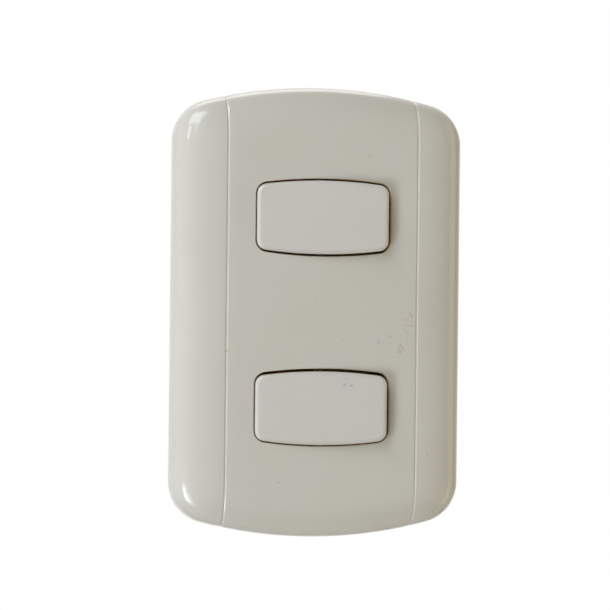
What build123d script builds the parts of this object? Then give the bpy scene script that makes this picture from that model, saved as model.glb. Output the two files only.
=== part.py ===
from build123d import *
import os
from math import asin, cos, degrees, pi, radians, sin, sqrt

# A double light switch: a moulded cover plate over a mounting frame that carries two rocker
# switch modules, lying on their side, so that each key rocks left and right.
# The wall is the plane y = 0, the front looks towards -Y, +X is right seen from the front and
# +Z is up. The origin lies midway between the two mounting screws. A height is measured out of
# the wall, towards the viewer, so a height h is the plane y = -h and a negative one is inside
# the wall box. Every module piece is drawn at the module's own centre with the key level, and
# is tilted into its resting position and moved to its place afterwards.

# Cover plate
PLATE_HEIGHT = 118.0
PLATE_WIDTH = 77.24
PLATE_DEPTH = 10.0
PLATE_WALL = 2.2
PLATE_END_RADIUS = 120.6
PLATE_CORNER_RADIUS = 11.0
PANEL_WIDTH = 50.92
PANEL_END_ROLL = 12.0
PANEL_CORNER_RADIUS = 2.0
SIDE_POWER = 1.8
DROP_POWER = 3.75
CROWN_SECTIONS = 9
GROOVE_WIDTH = 0.8
GROOVE_DEPTH = 0.4
GROOVE_RUN_OUT = 1.0
WINDOW_EDGE_BREAK = 0.25
COLLAR_THICKNESS = 1.2
COLLAR_HEIGHT = 1.6
COLLAR_WIDTH = 11.0
GUSSET_THICKNESS = 1.2
GUSSET_REACH = 3.0
GUSSET_HEIGHT = 4.4
GUSSET_PITCH = 38.0

# Snap legs that hold the plate on the frame
LEG_INSET = 3.5
LEG_PITCH = 28.0
LEG_THICKNESS = 1.6
LEG_WIDTH = 7.6
LEG_HOOK = 0.8
LEG_HOOK_HEIGHT = 1.0
LEG_CLEARANCE = 0.3

# Mounting frame
FRAME_HEIGHT = 107.0
FRAME_WIDTH = 61.0
FRAME_THICKNESS = 3.0
FRAME_CORNER_RADIUS = 8.0
FRAME_SKIN = 1.8
FRAME_RIB = 1.6
OPENING_CLEARANCE = 0.3
BRIDGE_RIB_PITCH = 9.0

# Mounting screws
SCREW_PITCH = 83.3
SCREW_RADIUS = 1.75
SCREW_LENGTH = 25.0
SCREW_NECK_RADIUS = 1.65
SCREW_END_CHAMFER = 0.6
SCREW_HEAD_RADIUS = 3.5
SCREW_HEAD_HEIGHT = 2.2
SCREW_SLOT_WIDTH = 0.9
SCREW_SLOT_DEPTH = 1.1
SCREW_HOLE_CLEARANCE = 0.25
SCREW_HOLE_LENGTH = 9.0
SCREW_BOSS_RADIUS = 6.0

# Module places: both modules have some play in the frame, and the lower one sits low in it
MODULE_PITCH = 49.52
MODULE_SETTLE = {"upper": 0.05, "lower": -0.2}

# Key
KEY_WIDTH = 35.0
KEY_HEIGHT = 19.2
KEY_ARC_RADIUS = 120.0
KEY_CORNER_RADIUS = 2.7
KEY_PROUD = 1.5
KEY_EDGE_RADIUS = 1.2
KEY_FACE_WALL = 1.5
KEY_SKIRT_WALL = 1.3
KEY_GAP = 0.5
KEY_TILT = 3.5
KEY_LEG_X = 11.0
KEY_LEG_THICKNESS = 1.2
KEY_LEG_WIDTH = 6.0
KEY_LEG_HOOK = 0.5
KEY_LEG_HOOK_HEIGHT = 0.65
KEY_RIB = 1.0
KEY_RIB_PITCH = 9.4

# Rocker, which carries the key, and its bearings
TRUNNION_RADIUS = 1.2
BEARING_CLEARANCE = 0.05
HUB_RADIUS = 2.0
ROCKER_PLATE = 1.8
ROCKER_SEAT = 0.05
ROCKER_CLEARANCE = 0.25
ROCKER_RIB = 1.2
ROCKER_RIB_HEIGHT = 1.2
ROCKER_RIB_PITCH = 10.0
ROCKER_DEPTH_UNDER_KEY = 1.8
TUBE_RADIUS = 2.9
TUBE_BORE_RADIUS = 2.05
TUBE_LENGTH = 10.0
TUBE_FLOOR = 1.4

# Module front, the part with the bearing ears
FLANGE_WIDTH = 45.6
FLANGE_HEIGHT = 23.8
FLANGE_THICKNESS = 1.6
FLANGE_CORNER_RADIUS = 1.5
EAR_WIDTH = 6.0
EAR_THICKNESS = 1.5
EAR_CORNER_RADIUS = 1.2
EAR_CAP = 0.55
EAR_CLEARANCE = 0.3
PLATE_CLEARANCE = 0.2
STOP_HEIGHT = 0.9
STOP_GAP = 0.05
STOP_LENGTH = 2.0
STOP_WIDTH = 4.0
STOP_PITCH = 9.0
ARM_WIDTH = 8.0
ARM_THICKNESS = 1.4
ARM_LENGTH = 9.4
ARM_HOOK = 0.7
ARM_HOOK_HEIGHT = 1.3
ARM_CLEARANCE = 0.3
HOOK_CLEARANCE = 0.15
LUG_WIDTH = 3.6
LUG_HEIGHT = 1.8
LUG_REACH = 1.2
LUG_CLEARANCE = 0.2
LUG_DEPTH = 4.0

# Housing
HOUSING_WIDTH = 38.0
HOUSING_HEIGHT = 21.2
HOUSING_DEPTH = 21.0
HOUSING_WALL = 1.4
HOUSING_FLOOR = 1.6
HOUSING_CORNER_RADIUS = 1.0
CORE_WALL = 1.4

# Contacts
BLADE_DEPTH = 9.75
BLADE_TILT = 9.0
BLADE_THICKNESS = 0.8
BLADE_WIDTH = 8.0
BLADE_OVERHANG = 1.9
BLADE_FREE_END = 8.2
BLADE_WAIST = 4.8
NOTCH_LENGTH = 2.2
CONTACT_INSET = 2.7
CONTACT_RADIUS = 1.7
CONTACT_HEAD = 0.9
CONTACT_SHANK_RADIUS = 0.85
CONTACT_SHANK_CLEARANCE = 0.05
CONTACT_DOME = 0.45
CONTACT_GAP = 0.1
PLUNGER_RADIUS = 1.2
PLUNGER_HEAD_RADIUS = 2.0
PLUNGER_HEAD_HEIGHT = 1.8
PLUNGER_SPIGOT_RADIUS = 1.1
PLUNGER_SPIGOT_HEIGHT = 2.2
PLUNGER_GAP = 0.15
PLUNGER_INSET = 0.4
SPRING_WIRE_RADIUS = 0.22
SPRING_RADIUS = 1.6
SPRING_TURNS = 6
SPRING_SEAT = 0.03

# Terminals
STRIP_THICKNESS = 1.0
STRIP_WIDTH = 6.0
KNIFE_RADIUS = 0.6
KNIFE_WIDTH = 4.4
KNIFE_GAP = 0.2
PRONG_WIDTH = 1.0
PRONG_CLEARANCE = 0.2
PRONG_RISE = 0.7
REST_STOP_GAP = 0.17
BLOCK_LENGTH = 6.2
BLOCK_WIDTH = 6.8
BLOCK_RISE = 3.1
BLOCK_CLEARANCE = 0.1
WIRE_OFFSET = 0.3
WIRE_RADIUS = 1.9
WIRE_DEPTH = 5.2
CLAMP_RADIUS = 1.7
CLAMP_DEPTH = 3.4
CLAMP_SCREW_RADIUS = 1.25
CLAMP_SCREW_CLEARANCE = 0.05
CLAMP_SCREW_TIP = 0.2
CLAMP_SCREW_PROUD = 0.2
CLAMP_SLOT_WIDTH = 0.5
CLAMP_SLOT_DEPTH = 0.6
CLAMP_HOLE_CLEARANCE = 0.3

# Half sizes in the plane of the wall that several pieces share
window_half_width = KEY_WIDTH / 2 + KEY_GAP
window_half_height = KEY_HEIGHT / 2 + KEY_GAP
housing_end = HOUSING_WIDTH / 2
arm_inside = housing_end + ARM_CLEARANCE
arm_outside = arm_inside + ARM_THICKNESS
opening_half_width = arm_outside + OPENING_CLEARANCE
opening_half_height = HOUSING_HEIGHT / 2 + 2 * OPENING_CLEARANCE
ear_inside = KEY_HEIGHT / 2 + EAR_CLEARANCE
ear_outside = ear_inside + EAR_THICKNESS
cavity_half_width = housing_end - HOUSING_WALL
cavity_half_height = HOUSING_HEIGHT / 2 - HOUSING_WALL
block_x = cavity_half_width - 2 * BLOCK_CLEARANCE - BLOCK_LENGTH / 2
wire_x = block_x - WIRE_OFFSET
contact_x = block_x - BLOCK_LENGTH / 2 - CONTACT_INSET
blade_contact_end = contact_x + BLADE_OVERHANG
leg_x = FRAME_WIDTH / 2 - LEG_INSET
rocker_half_width = KEY_WIDTH / 2 - KEY_SKIRT_WALL - ROCKER_CLEARANCE
rocker_half_height = KEY_HEIGHT / 2 - KEY_SKIRT_WALL - ROCKER_CLEARANCE
leg_slot = LEG_THICKNESS + LEG_HOOK + 2 * LEG_CLEARANCE

# Heights out of the wall that several pieces share
panel_inside = PLATE_DEPTH - PLATE_WALL
flange_front = FRAME_THICKNESS + FLANGE_THICKNESS
ear_top = panel_inside - PLATE_CLEARANCE
pivot_height = ear_top - EAR_CAP - BEARING_CLEARANCE - TRUNNION_RADIUS
key_face = PLATE_DEPTH + KEY_PROUD
key_ceiling = key_face - KEY_FACE_WALL
rocker_front = key_ceiling - ROCKER_DEPTH_UNDER_KEY
rocker_back = rocker_front - ROCKER_PLATE
stop_top = flange_front + STOP_HEIGHT
tilt_rise = KEY_WIDTH / 2 * sin(radians(KEY_TILT))
skirt_back = pivot_height + (stop_top + STOP_GAP - pivot_height + tilt_rise) / cos(radians(KEY_TILT))
tube_back = rocker_back - TUBE_LENGTH
tube_bottom = rocker_front - TUBE_FLOOR
blade_height = -BLADE_DEPTH
blade_front = blade_height + BLADE_THICKNESS / 2
blade_back = blade_height - BLADE_THICKNESS / 2
knife_centre = blade_back - KNIFE_GAP - KNIFE_RADIUS
blade_lift = (blade_back - knife_centre) * cos(radians(BLADE_TILT))
strip_front = knife_centre + blade_lift - BLADE_FREE_END * sin(radians(BLADE_TILT)) - REST_STOP_GAP
contact_reach = contact_x * sin(radians(BLADE_TILT)) + CONTACT_HEAD * cos(radians(BLADE_TILT))
fixed_contact_front = knife_centre + blade_lift - contact_reach - CONTACT_GAP
tongue_front = fixed_contact_front - CONTACT_HEAD
floor_front = tongue_front - STRIP_THICKNESS
floor_back = floor_front - HOUSING_FLOOR
block_front = floor_front + BLOCK_RISE
clamp_height = -HOUSING_DEPTH + WIRE_DEPTH + CLAMP_DEPTH / 2
plunger_head_back = tube_back + PLUNGER_INSET
plunger_head_front = plunger_head_back + PLUNGER_HEAD_HEIGHT


def wall_plane(height):
    """Plane parallel to the wall, its x along +X, its y along +Z, its normal to the front."""
    return Plane.XZ.offset(height)


def end_plane(x):
    """Plane across the switch, its x along +Y and its y along +Z, seen from the right."""
    return Plane.YZ.offset(x)


def barrel(half_width, half_height, arc_radius, corner_radius):
    """Outline with straight sides, bowed top and bottom edges and rounded corners."""
    corner_height = half_height - arc_radius + sqrt(arc_radius**2 - half_width**2)
    with BuildSketch() as outline:
        with BuildLine():
            Line((half_width, -corner_height), (half_width, corner_height))
            ThreePointArc((half_width, corner_height), (0, half_height), (-half_width, corner_height))
            Line((-half_width, corner_height), (-half_width, -corner_height))
            ThreePointArc((-half_width, -corner_height), (0, -half_height), (half_width, -corner_height))
        make_face()
        fillet(outline.vertices(), corner_radius)
    return outline.sketch


def crown_point(angle):
    """Share of the way out from the panel to the rim, and of the height, on a superellipse."""
    outward = sin(angle) ** (2 / SIDE_POWER)
    upward = max(cos(angle), 0) ** (2 / DROP_POWER)
    return outward, upward


def crown_section(outward, inset):
    """Outline of the plate at one share of the way out from the panel to the rim."""
    wing = (PLATE_WIDTH - PANEL_WIDTH) / 2
    half_width = PANEL_WIDTH / 2 + wing * outward - inset
    half_height = PLATE_HEIGHT / 2 - PANEL_END_ROLL * (1 - outward) - inset
    corner = PANEL_CORNER_RADIUS + (PLATE_CORNER_RADIUS - PANEL_CORNER_RADIUS) * outward - inset * outward
    return barrel(half_width, half_height, PLATE_END_RADIUS, corner)


def crown_angles():
    """Angles of the sections of the crown, from the rim to the flat panel."""
    return [pi / 2 * (1 - step / (CROWN_SECTIONS - 1)) for step in range(CROWN_SECTIONS)]


def groove_path_points():
    """Points along one end of a groove, from the flat panel down over the rim, as (z, height)."""
    sag = PLATE_END_RADIUS - sqrt(PLATE_END_RADIUS**2 - (PANEL_WIDTH / 2) ** 2)
    panel_end = PLATE_HEIGHT / 2 - PANEL_END_ROLL - sag
    points = []
    for angle in reversed(crown_angles()):
        outward, upward = crown_point(angle)
        points.append((panel_end + PANEL_END_ROLL * outward, PLATE_DEPTH * upward))
    points.append((panel_end + PANEL_END_ROLL, -GROOVE_RUN_OUT))
    return points


def make_cover_plate():
    """Moulded plate: crowned shell, two windows, two grooves, legs, collars and gussets."""
    with BuildPart() as cover_plate:
        for angle in crown_angles():
            outward, upward = crown_point(angle)
            with BuildSketch(wall_plane(PLATE_DEPTH * upward)):
                add(crown_section(outward, 0))
        loft()
        for angle in crown_angles():
            outward, upward = crown_point(angle)
            with BuildSketch(wall_plane((PLATE_DEPTH - PLATE_WALL) * upward)):
                add(crown_section(outward, PLATE_WALL))
        loft(mode=Mode.SUBTRACT)
        with BuildSketch(wall_plane(panel_inside)):
            with Locations((0, MODULE_PITCH / 2), (0, -MODULE_PITCH / 2)):
                with GridLocations(2 * window_half_width + COLLAR_THICKNESS, 0, 2, 1):
                    Rectangle(COLLAR_THICKNESS, COLLAR_WIDTH)
        extrude(amount=-COLLAR_HEIGHT)
        with BuildSketch(wall_plane(panel_inside)):
            with GridLocations(2 * leg_x, LEG_PITCH, 2, 2):
                Rectangle(LEG_THICKNESS, LEG_WIDTH)
        extrude(amount=LEG_CLEARANCE - panel_inside)
        with BuildSketch(wall_plane(LEG_CLEARANCE)):
            with GridLocations(2 * leg_x + LEG_THICKNESS + LEG_HOOK, LEG_PITCH, 2, 2):
                Rectangle(LEG_HOOK, LEG_WIDTH)
        extrude(amount=LEG_HOOK_HEIGHT)
        with BuildSketch(wall_plane(LEG_CLEARANCE)):
            with GridLocations(PLATE_WIDTH - PLATE_WALL - GUSSET_REACH, GUSSET_PITCH, 2, 3):
                Rectangle(PLATE_WALL / 2 + GUSSET_REACH, GUSSET_THICKNESS)
        extrude(amount=GUSSET_HEIGHT)
        with BuildSketch(wall_plane(0)):
            with Locations((0, MODULE_PITCH / 2), (0, -MODULE_PITCH / 2)):
                add(barrel(window_half_width, window_half_height, KEY_ARC_RADIUS,
                           KEY_CORNER_RADIUS + KEY_GAP))
        extrude(amount=PLATE_DEPTH, mode=Mode.SUBTRACT)
        chamfer(cover_plate.edges().filter_by_position(Axis.Y, -PLATE_DEPTH, -PLATE_DEPTH)
                .filter_by(lambda edge: abs(edge.center().Z) < PLATE_HEIGHT / 2 - 2 * PANEL_END_ROLL
                           and abs(edge.center().X) < window_half_width + KEY_GAP), WINDOW_EDGE_BREAK)
        for side in (-1, 1):
            x = side * PANEL_WIDTH / 2
            half = [(x, -height, z) for z, height in groove_path_points()]
            far = [(x, y, -z) for x, y, z in reversed(half)]
            with BuildLine() as path:
                bottom_end = Spline(*far)
                Line(bottom_end @ 1, half[0])
                Spline(*half)
            with BuildSketch(Plane(origin=path.line @ 0, x_dir=(1, 0, 0), z_dir=path.line % 0)):
                with BuildLine():
                    Polyline((-GROOVE_WIDTH, -GROOVE_DEPTH), (0, GROOVE_DEPTH),
                             (GROOVE_WIDTH, -GROOVE_DEPTH), close=True)
                make_face()
            sweep(mode=Mode.SUBTRACT)
    return cover_plate.part


def make_mounting_frame():
    """Flat moulded frame with a raised rim, two module openings, slots and a ribbed bridge."""
    rib_height = FRAME_THICKNESS - FRAME_SKIN
    with BuildPart() as mounting_frame:
        with BuildSketch(wall_plane(0)):
            RectangleRounded(FRAME_WIDTH, FRAME_HEIGHT, FRAME_CORNER_RADIUS)
        extrude(amount=FRAME_THICKNESS)
        with BuildSketch(wall_plane(FRAME_THICKNESS)):
            RectangleRounded(FRAME_WIDTH - 2 * FRAME_RIB, FRAME_HEIGHT - 2 * FRAME_RIB,
                             FRAME_CORNER_RADIUS - FRAME_RIB)
            with GridLocations(0, MODULE_PITCH, 1, 2):
                Rectangle(FLANGE_WIDTH, FLANGE_HEIGHT, mode=Mode.SUBTRACT)
            with GridLocations(0, SCREW_PITCH, 1, 2):
                SlotCenterToCenter(SCREW_HOLE_LENGTH, 2 * SCREW_BOSS_RADIUS, mode=Mode.SUBTRACT)
            with GridLocations(2 * leg_x + LEG_HOOK, LEG_PITCH, 2, 2):
                Rectangle(leg_slot + 2 * FRAME_RIB, LEG_WIDTH + 2 * LEG_CLEARANCE + 2 * FRAME_RIB,
                          mode=Mode.SUBTRACT)
            with GridLocations(0, BRIDGE_RIB_PITCH, 1, 3):
                Rectangle(FLANGE_WIDTH, FRAME_RIB, mode=Mode.SUBTRACT)
        extrude(amount=-rib_height, mode=Mode.SUBTRACT)
        with BuildSketch(wall_plane(0)):
            with GridLocations(0, MODULE_PITCH, 1, 2):
                Rectangle(2 * opening_half_width, 2 * opening_half_height)
            with GridLocations(0, SCREW_PITCH, 1, 2):
                SlotCenterToCenter(SCREW_HOLE_LENGTH - 2 * SCREW_RADIUS,
                                   2 * (SCREW_RADIUS + SCREW_HOLE_CLEARANCE))
            with GridLocations(2 * leg_x + LEG_HOOK, LEG_PITCH, 2, 2):
                Rectangle(leg_slot, LEG_WIDTH + 2 * LEG_CLEARANCE)
        extrude(amount=FRAME_THICKNESS, mode=Mode.SUBTRACT)
        with BuildSketch(wall_plane(FRAME_THICKNESS)):
            for side in (-1, 1):
                with GridLocations(0, LEG_PITCH, 1, 2):
                    with Locations((side * (leg_x + LEG_THICKNESS / 2 + LEG_CLEARANCE + LEG_HOOK / 2
                                            + LEG_CLEARANCE / 2), 0)):
                        Rectangle(LEG_HOOK + LEG_CLEARANCE, LEG_WIDTH + 2 * LEG_CLEARANCE)
        extrude(amount=2 * LEG_CLEARANCE + LEG_HOOK_HEIGHT - FRAME_THICKNESS)
    return mounting_frame.part


def make_mounting_screw():
    """Pan-head screw: head seated on the frame, neck through it, shank standing out behind."""
    head_top = FRAME_THICKNESS + SCREW_HEAD_HEIGHT
    with BuildPart() as mounting_screw:
        with BuildSketch(wall_plane(FRAME_THICKNESS)):
            Circle(SCREW_HEAD_RADIUS)
        extrude(amount=SCREW_HEAD_HEIGHT)
        fillet(mounting_screw.faces().sort_by(Axis.Y)[0].edges(), SCREW_HEAD_HEIGHT / 2)
        with BuildSketch(wall_plane(head_top)):
            Rectangle(2 * SCREW_HEAD_RADIUS, SCREW_SLOT_WIDTH)
        extrude(amount=-SCREW_SLOT_DEPTH, mode=Mode.SUBTRACT)
        with BuildSketch(wall_plane(FRAME_THICKNESS)):
            Circle(SCREW_NECK_RADIUS)
        extrude(amount=-FRAME_THICKNESS)
        with BuildSketch(wall_plane(0)):
            Circle(SCREW_RADIUS)
        extrude(amount=FRAME_THICKNESS - SCREW_LENGTH)
        chamfer(mounting_screw.faces().sort_by(Axis.Y)[-1].edges(), SCREW_END_CHAMFER)
    return mounting_screw.part


def make_key():
    """Rocker cap: bowed outline, rounded front edge, hollow back, ribs and two snap legs."""
    hook_front = rocker_back - ROCKER_SEAT
    with BuildPart() as key:
        with BuildSketch(wall_plane(skirt_back)):
            add(barrel(KEY_WIDTH / 2, KEY_HEIGHT / 2, KEY_ARC_RADIUS, KEY_CORNER_RADIUS))
        extrude(amount=key_face - skirt_back)
        fillet(key.faces().sort_by(Axis.Y)[0].edges(), KEY_EDGE_RADIUS)
        with BuildSketch(wall_plane(skirt_back)):
            add(barrel(KEY_WIDTH / 2 - KEY_SKIRT_WALL, KEY_HEIGHT / 2 - KEY_SKIRT_WALL,
                       KEY_ARC_RADIUS - KEY_SKIRT_WALL, KEY_CORNER_RADIUS - KEY_SKIRT_WALL))
        extrude(amount=key_ceiling - skirt_back, mode=Mode.SUBTRACT)
        with BuildSketch(wall_plane(rocker_front + ROCKER_SEAT)):
            with GridLocations(0, KEY_RIB_PITCH, 1, 2):
                Rectangle(2 * rocker_half_width - KEY_CORNER_RADIUS, KEY_RIB)
        extrude(amount=key_ceiling - rocker_front - ROCKER_SEAT)
        with BuildSketch(wall_plane(key_ceiling)):
            with GridLocations(2 * KEY_LEG_X, 0, 2, 1):
                Rectangle(KEY_LEG_THICKNESS, KEY_LEG_WIDTH)
        extrude(amount=hook_front - KEY_LEG_HOOK_HEIGHT - key_ceiling)
        with BuildSketch(wall_plane(hook_front)):
            with GridLocations(2 * KEY_LEG_X + KEY_LEG_THICKNESS + KEY_LEG_HOOK, 0, 2, 1):
                Rectangle(KEY_LEG_HOOK, KEY_LEG_WIDTH)
        extrude(amount=-KEY_LEG_HOOK_HEIGHT)
        with BuildSketch(Plane.XY.offset(-KEY_HEIGHT / 2)):
            with Locations((0, -pivot_height)):
                Circle(TRUNNION_RADIUS + ROCKER_CLEARANCE)
        extrude(amount=KEY_HEIGHT, mode=Mode.SUBTRACT)
    return key.part


def make_rocker():
    """Carrier under the key: ribbed plate, two trunnions and the tube that holds the spring."""
    slot_width = KEY_LEG_THICKNESS + KEY_LEG_HOOK + ROCKER_CLEARANCE
    with BuildPart() as rocker:
        with BuildSketch(wall_plane(rocker_back)):
            add(barrel(rocker_half_width, rocker_half_height, KEY_ARC_RADIUS, KEY_CORNER_RADIUS / 2))
            with GridLocations(2 * KEY_LEG_X, 0, 2, 1):
                Rectangle(slot_width, KEY_LEG_WIDTH + 2 * ROCKER_CLEARANCE, mode=Mode.SUBTRACT)
        extrude(amount=ROCKER_PLATE)
        with BuildSketch(wall_plane(rocker_back)):
            with GridLocations(0, ROCKER_RIB_PITCH, 1, 2):
                Rectangle(2 * rocker_half_width - 2 * KEY_CORNER_RADIUS, ROCKER_RIB)
        extrude(amount=-ROCKER_RIB_HEIGHT)
        with BuildSketch(Plane.XY.offset(-rocker_half_height)):
            with Locations((0, -pivot_height)):
                Circle(HUB_RADIUS)
        extrude(amount=2 * rocker_half_height)
        with BuildSketch(Plane.XY.offset(BEARING_CLEARANCE - ear_outside)):
            with Locations((0, -pivot_height)):
                Circle(TRUNNION_RADIUS)
        extrude(amount=2 * (ear_outside - BEARING_CLEARANCE))
        with BuildSketch(wall_plane(tube_back)):
            Circle(TUBE_RADIUS)
        extrude(amount=rocker_front - tube_back)
        with BuildSketch(wall_plane(tube_back)):
            Circle(TUBE_BORE_RADIUS)
        extrude(amount=tube_bottom - tube_back, mode=Mode.SUBTRACT)
    return rocker.part


def make_module_front():
    """Front of a module: flange on the frame, bearing ears, stops for the key and snap arms."""
    with BuildPart() as module_front:
        with BuildSketch(wall_plane(FRAME_THICKNESS)):
            RectangleRounded(FLANGE_WIDTH, FLANGE_HEIGHT, FLANGE_CORNER_RADIUS)
            Rectangle(2 * (KEY_WIDTH / 2 - KEY_SKIRT_WALL), 2 * cavity_half_height, mode=Mode.SUBTRACT)
        extrude(amount=FLANGE_THICKNESS)
        with BuildSketch(wall_plane(flange_front)):
            with GridLocations(0, ear_inside + ear_outside, 1, 2):
                Rectangle(EAR_WIDTH, EAR_THICKNESS)
        extrude(amount=ear_top - flange_front)
        fillet(module_front.edges().filter_by(Axis.Z).filter_by_position(Axis.Y, -ear_top, -ear_top),
               EAR_CORNER_RADIUS)
        with BuildSketch(Plane.XY.offset(-ear_outside)):
            with Locations((0, -pivot_height)):
                Circle(TRUNNION_RADIUS + BEARING_CLEARANCE)
        extrude(amount=2 * ear_outside, mode=Mode.SUBTRACT)
        with BuildSketch(wall_plane(flange_front)):
            with GridLocations(KEY_WIDTH - KEY_SKIRT_WALL + STOP_LENGTH / 2, STOP_PITCH, 2, 2):
                Rectangle(STOP_LENGTH, STOP_WIDTH)
        extrude(amount=STOP_HEIGHT)
        with BuildSketch(wall_plane(FRAME_THICKNESS)):
            with GridLocations(arm_inside + arm_outside, 0, 2, 1):
                Rectangle(ARM_THICKNESS, ARM_WIDTH)
        extrude(amount=-ARM_LENGTH)
        with BuildSketch(Plane.XY.offset(-ARM_WIDTH / 2)):
            with BuildLine():
                Polyline((arm_inside, HOOK_CLEARANCE),
                         (opening_half_width + ARM_HOOK, HOOK_CLEARANCE),
                         (arm_outside, HOOK_CLEARANCE + ARM_HOOK_HEIGHT),
                         (arm_inside, HOOK_CLEARANCE + ARM_HOOK_HEIGHT), close=True)
            make_face()
            mirror(about=Plane.YZ)
        extrude(amount=ARM_WIDTH)
        with BuildSketch(end_plane(-arm_outside)):
            with Locations((LUG_DEPTH, 0)):
                Rectangle(LUG_HEIGHT + 2 * LUG_CLEARANCE, LUG_WIDTH + 2 * LUG_CLEARANCE)
        extrude(amount=2 * arm_outside, mode=Mode.SUBTRACT)
    return module_front.part


def make_housing():
    """Housing of a module: open front, floor, cored back, terminal pockets and snap lugs."""
    pocket_length = BLOCK_LENGTH + 2 * BLOCK_CLEARANCE
    pocket_width = BLOCK_WIDTH + 2 * BLOCK_CLEARANCE
    pocket_inside = block_x - pocket_length / 2 - CORE_WALL
    corner_width = cavity_half_height - pocket_width / 2 - CORE_WALL
    corner_length = cavity_half_width - pocket_inside - CORE_WALL
    with BuildPart() as housing:
        with BuildSketch(wall_plane(FRAME_THICKNESS)):
            RectangleRounded(HOUSING_WIDTH, HOUSING_HEIGHT, HOUSING_CORNER_RADIUS)
        extrude(amount=-FRAME_THICKNESS - HOUSING_DEPTH)
        with BuildSketch(wall_plane(FRAME_THICKNESS)):
            Rectangle(2 * cavity_half_width, 2 * cavity_half_height)
        extrude(amount=floor_front - FRAME_THICKNESS, mode=Mode.SUBTRACT)
        with BuildSketch(wall_plane(floor_back)):
            Rectangle(2 * pocket_inside, 2 * cavity_half_height)
            with GridLocations(2 * cavity_half_width - corner_length,
                               2 * cavity_half_height - corner_width, 2, 2):
                Rectangle(corner_length, corner_width)
        extrude(amount=-HOUSING_DEPTH - floor_back, mode=Mode.SUBTRACT)
        with BuildSketch(wall_plane(floor_front)):
            with GridLocations(2 * block_x, 0, 2, 1):
                Rectangle(pocket_length, pocket_width)
        extrude(amount=-HOUSING_DEPTH - floor_front, mode=Mode.SUBTRACT)
        with BuildSketch(wall_plane(floor_front)):
            with Locations((pocket_inside / 2, 0)):
                Rectangle(pocket_inside - 2 * KNIFE_RADIUS, STRIP_WIDTH - 2 * BLOCK_CLEARANCE)
        extrude(amount=strip_front - STRIP_THICKNESS - floor_front)
        with BuildSketch(end_plane(-housing_end - LUG_REACH)):
            with Locations((LUG_DEPTH, 0)):
                Rectangle(LUG_HEIGHT, LUG_WIDTH)
        extrude(amount=LUG_REACH)
        with BuildSketch(end_plane(housing_end)):
            with Locations((LUG_DEPTH, 0)):
                Rectangle(LUG_HEIGHT, LUG_WIDTH)
        extrude(amount=LUG_REACH)
        with BuildSketch(end_plane(-housing_end)):
            with Locations((-clamp_height, 0)):
                Circle(CLAMP_SCREW_RADIUS + CLAMP_HOLE_CLEARANCE)
        extrude(amount=HOUSING_WIDTH, mode=Mode.SUBTRACT)
    return housing.part


def make_spring():
    """Compression spring between the bottom of the rocker's tube and the plunger's head."""
    start = plunger_head_front + SPRING_WIRE_RADIUS + SPRING_SEAT
    length = tube_bottom - SPRING_WIRE_RADIUS - SPRING_SEAT - start
    with BuildPart() as spring:
        with BuildLine() as coil:
            Helix(length / SPRING_TURNS, length, SPRING_RADIUS,
                  center=(0, -start, 0), direction=(0, -1, 0))
        with BuildSketch(Plane(origin=coil.line @ 0, z_dir=coil.line % 0)):
            Circle(SPRING_WIRE_RADIUS)
        sweep()
    return spring.part


def make_plunger():
    """Plunger that the spring presses on the contact blade: spigot, head, shank, round tip."""
    tip = blade_front + PLUNGER_GAP
    with BuildPart() as plunger:
        with BuildSketch(Plane.XY):
            with BuildLine():
                Polyline((0, -plunger_head_front - PLUNGER_SPIGOT_HEIGHT),
                         (PLUNGER_SPIGOT_RADIUS, -plunger_head_front - PLUNGER_SPIGOT_HEIGHT),
                         (PLUNGER_SPIGOT_RADIUS, -plunger_head_front),
                         (PLUNGER_HEAD_RADIUS, -plunger_head_front),
                         (PLUNGER_HEAD_RADIUS, -plunger_head_back),
                         (PLUNGER_RADIUS, -plunger_head_back),
                         (PLUNGER_RADIUS, -tip - PLUNGER_RADIUS))
                CenterArc((0, -tip - PLUNGER_RADIUS), PLUNGER_RADIUS, 0, 90)
                Line((0, -tip), (0, -plunger_head_front - PLUNGER_SPIGOT_HEIGHT))
            make_face()
        revolve(axis=Axis.Y)
    return plunger.part


def make_contact_blade():
    """See-saw blade with a waist, two notches for the fulcrum's prongs and a rivet hole."""
    notch_width = (BLADE_WIDTH - KNIFE_WIDTH) / 2
    with BuildPart() as contact_blade:
        with BuildSketch(wall_plane(blade_back)):
            with Locations(((BLADE_FREE_END - blade_contact_end) / 2, 0)):
                RectangleRounded(blade_contact_end + BLADE_FREE_END, BLADE_WAIST, BLADE_WAIST / 3)
            Rectangle(2 * BLADE_WAIST, BLADE_WIDTH)
            with GridLocations(0, BLADE_WIDTH - notch_width, 1, 2):
                Rectangle(NOTCH_LENGTH, notch_width, mode=Mode.SUBTRACT)
            with Locations((-contact_x, 0)):
                Circle(CONTACT_SHANK_RADIUS + CONTACT_SHANK_CLEARANCE, mode=Mode.SUBTRACT)
        extrude(amount=BLADE_THICKNESS)
    return contact_blade.part


def make_contact(carrier_thickness):
    """Silver rivet: domed head on the strip's face at height 0, shank through the strip."""
    rim = CONTACT_HEAD - CONTACT_DOME
    dome_radius = (CONTACT_RADIUS**2 + CONTACT_DOME**2) / (2 * CONTACT_DOME)
    dome_angle = degrees(asin(CONTACT_RADIUS / dome_radius))
    with BuildPart() as contact:
        with BuildSketch(Plane.XY):
            with BuildLine():
                Polyline((0, -CONTACT_HEAD), (0, carrier_thickness),
                         (CONTACT_SHANK_RADIUS, carrier_thickness), (CONTACT_SHANK_RADIUS, 0),
                         (CONTACT_RADIUS, 0), (CONTACT_RADIUS, -rim))
                CenterArc((0, dome_radius - CONTACT_HEAD), dome_radius, dome_angle - 90, -dome_angle)
            make_face()
        revolve(axis=Axis.Y)
    return contact.part


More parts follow.
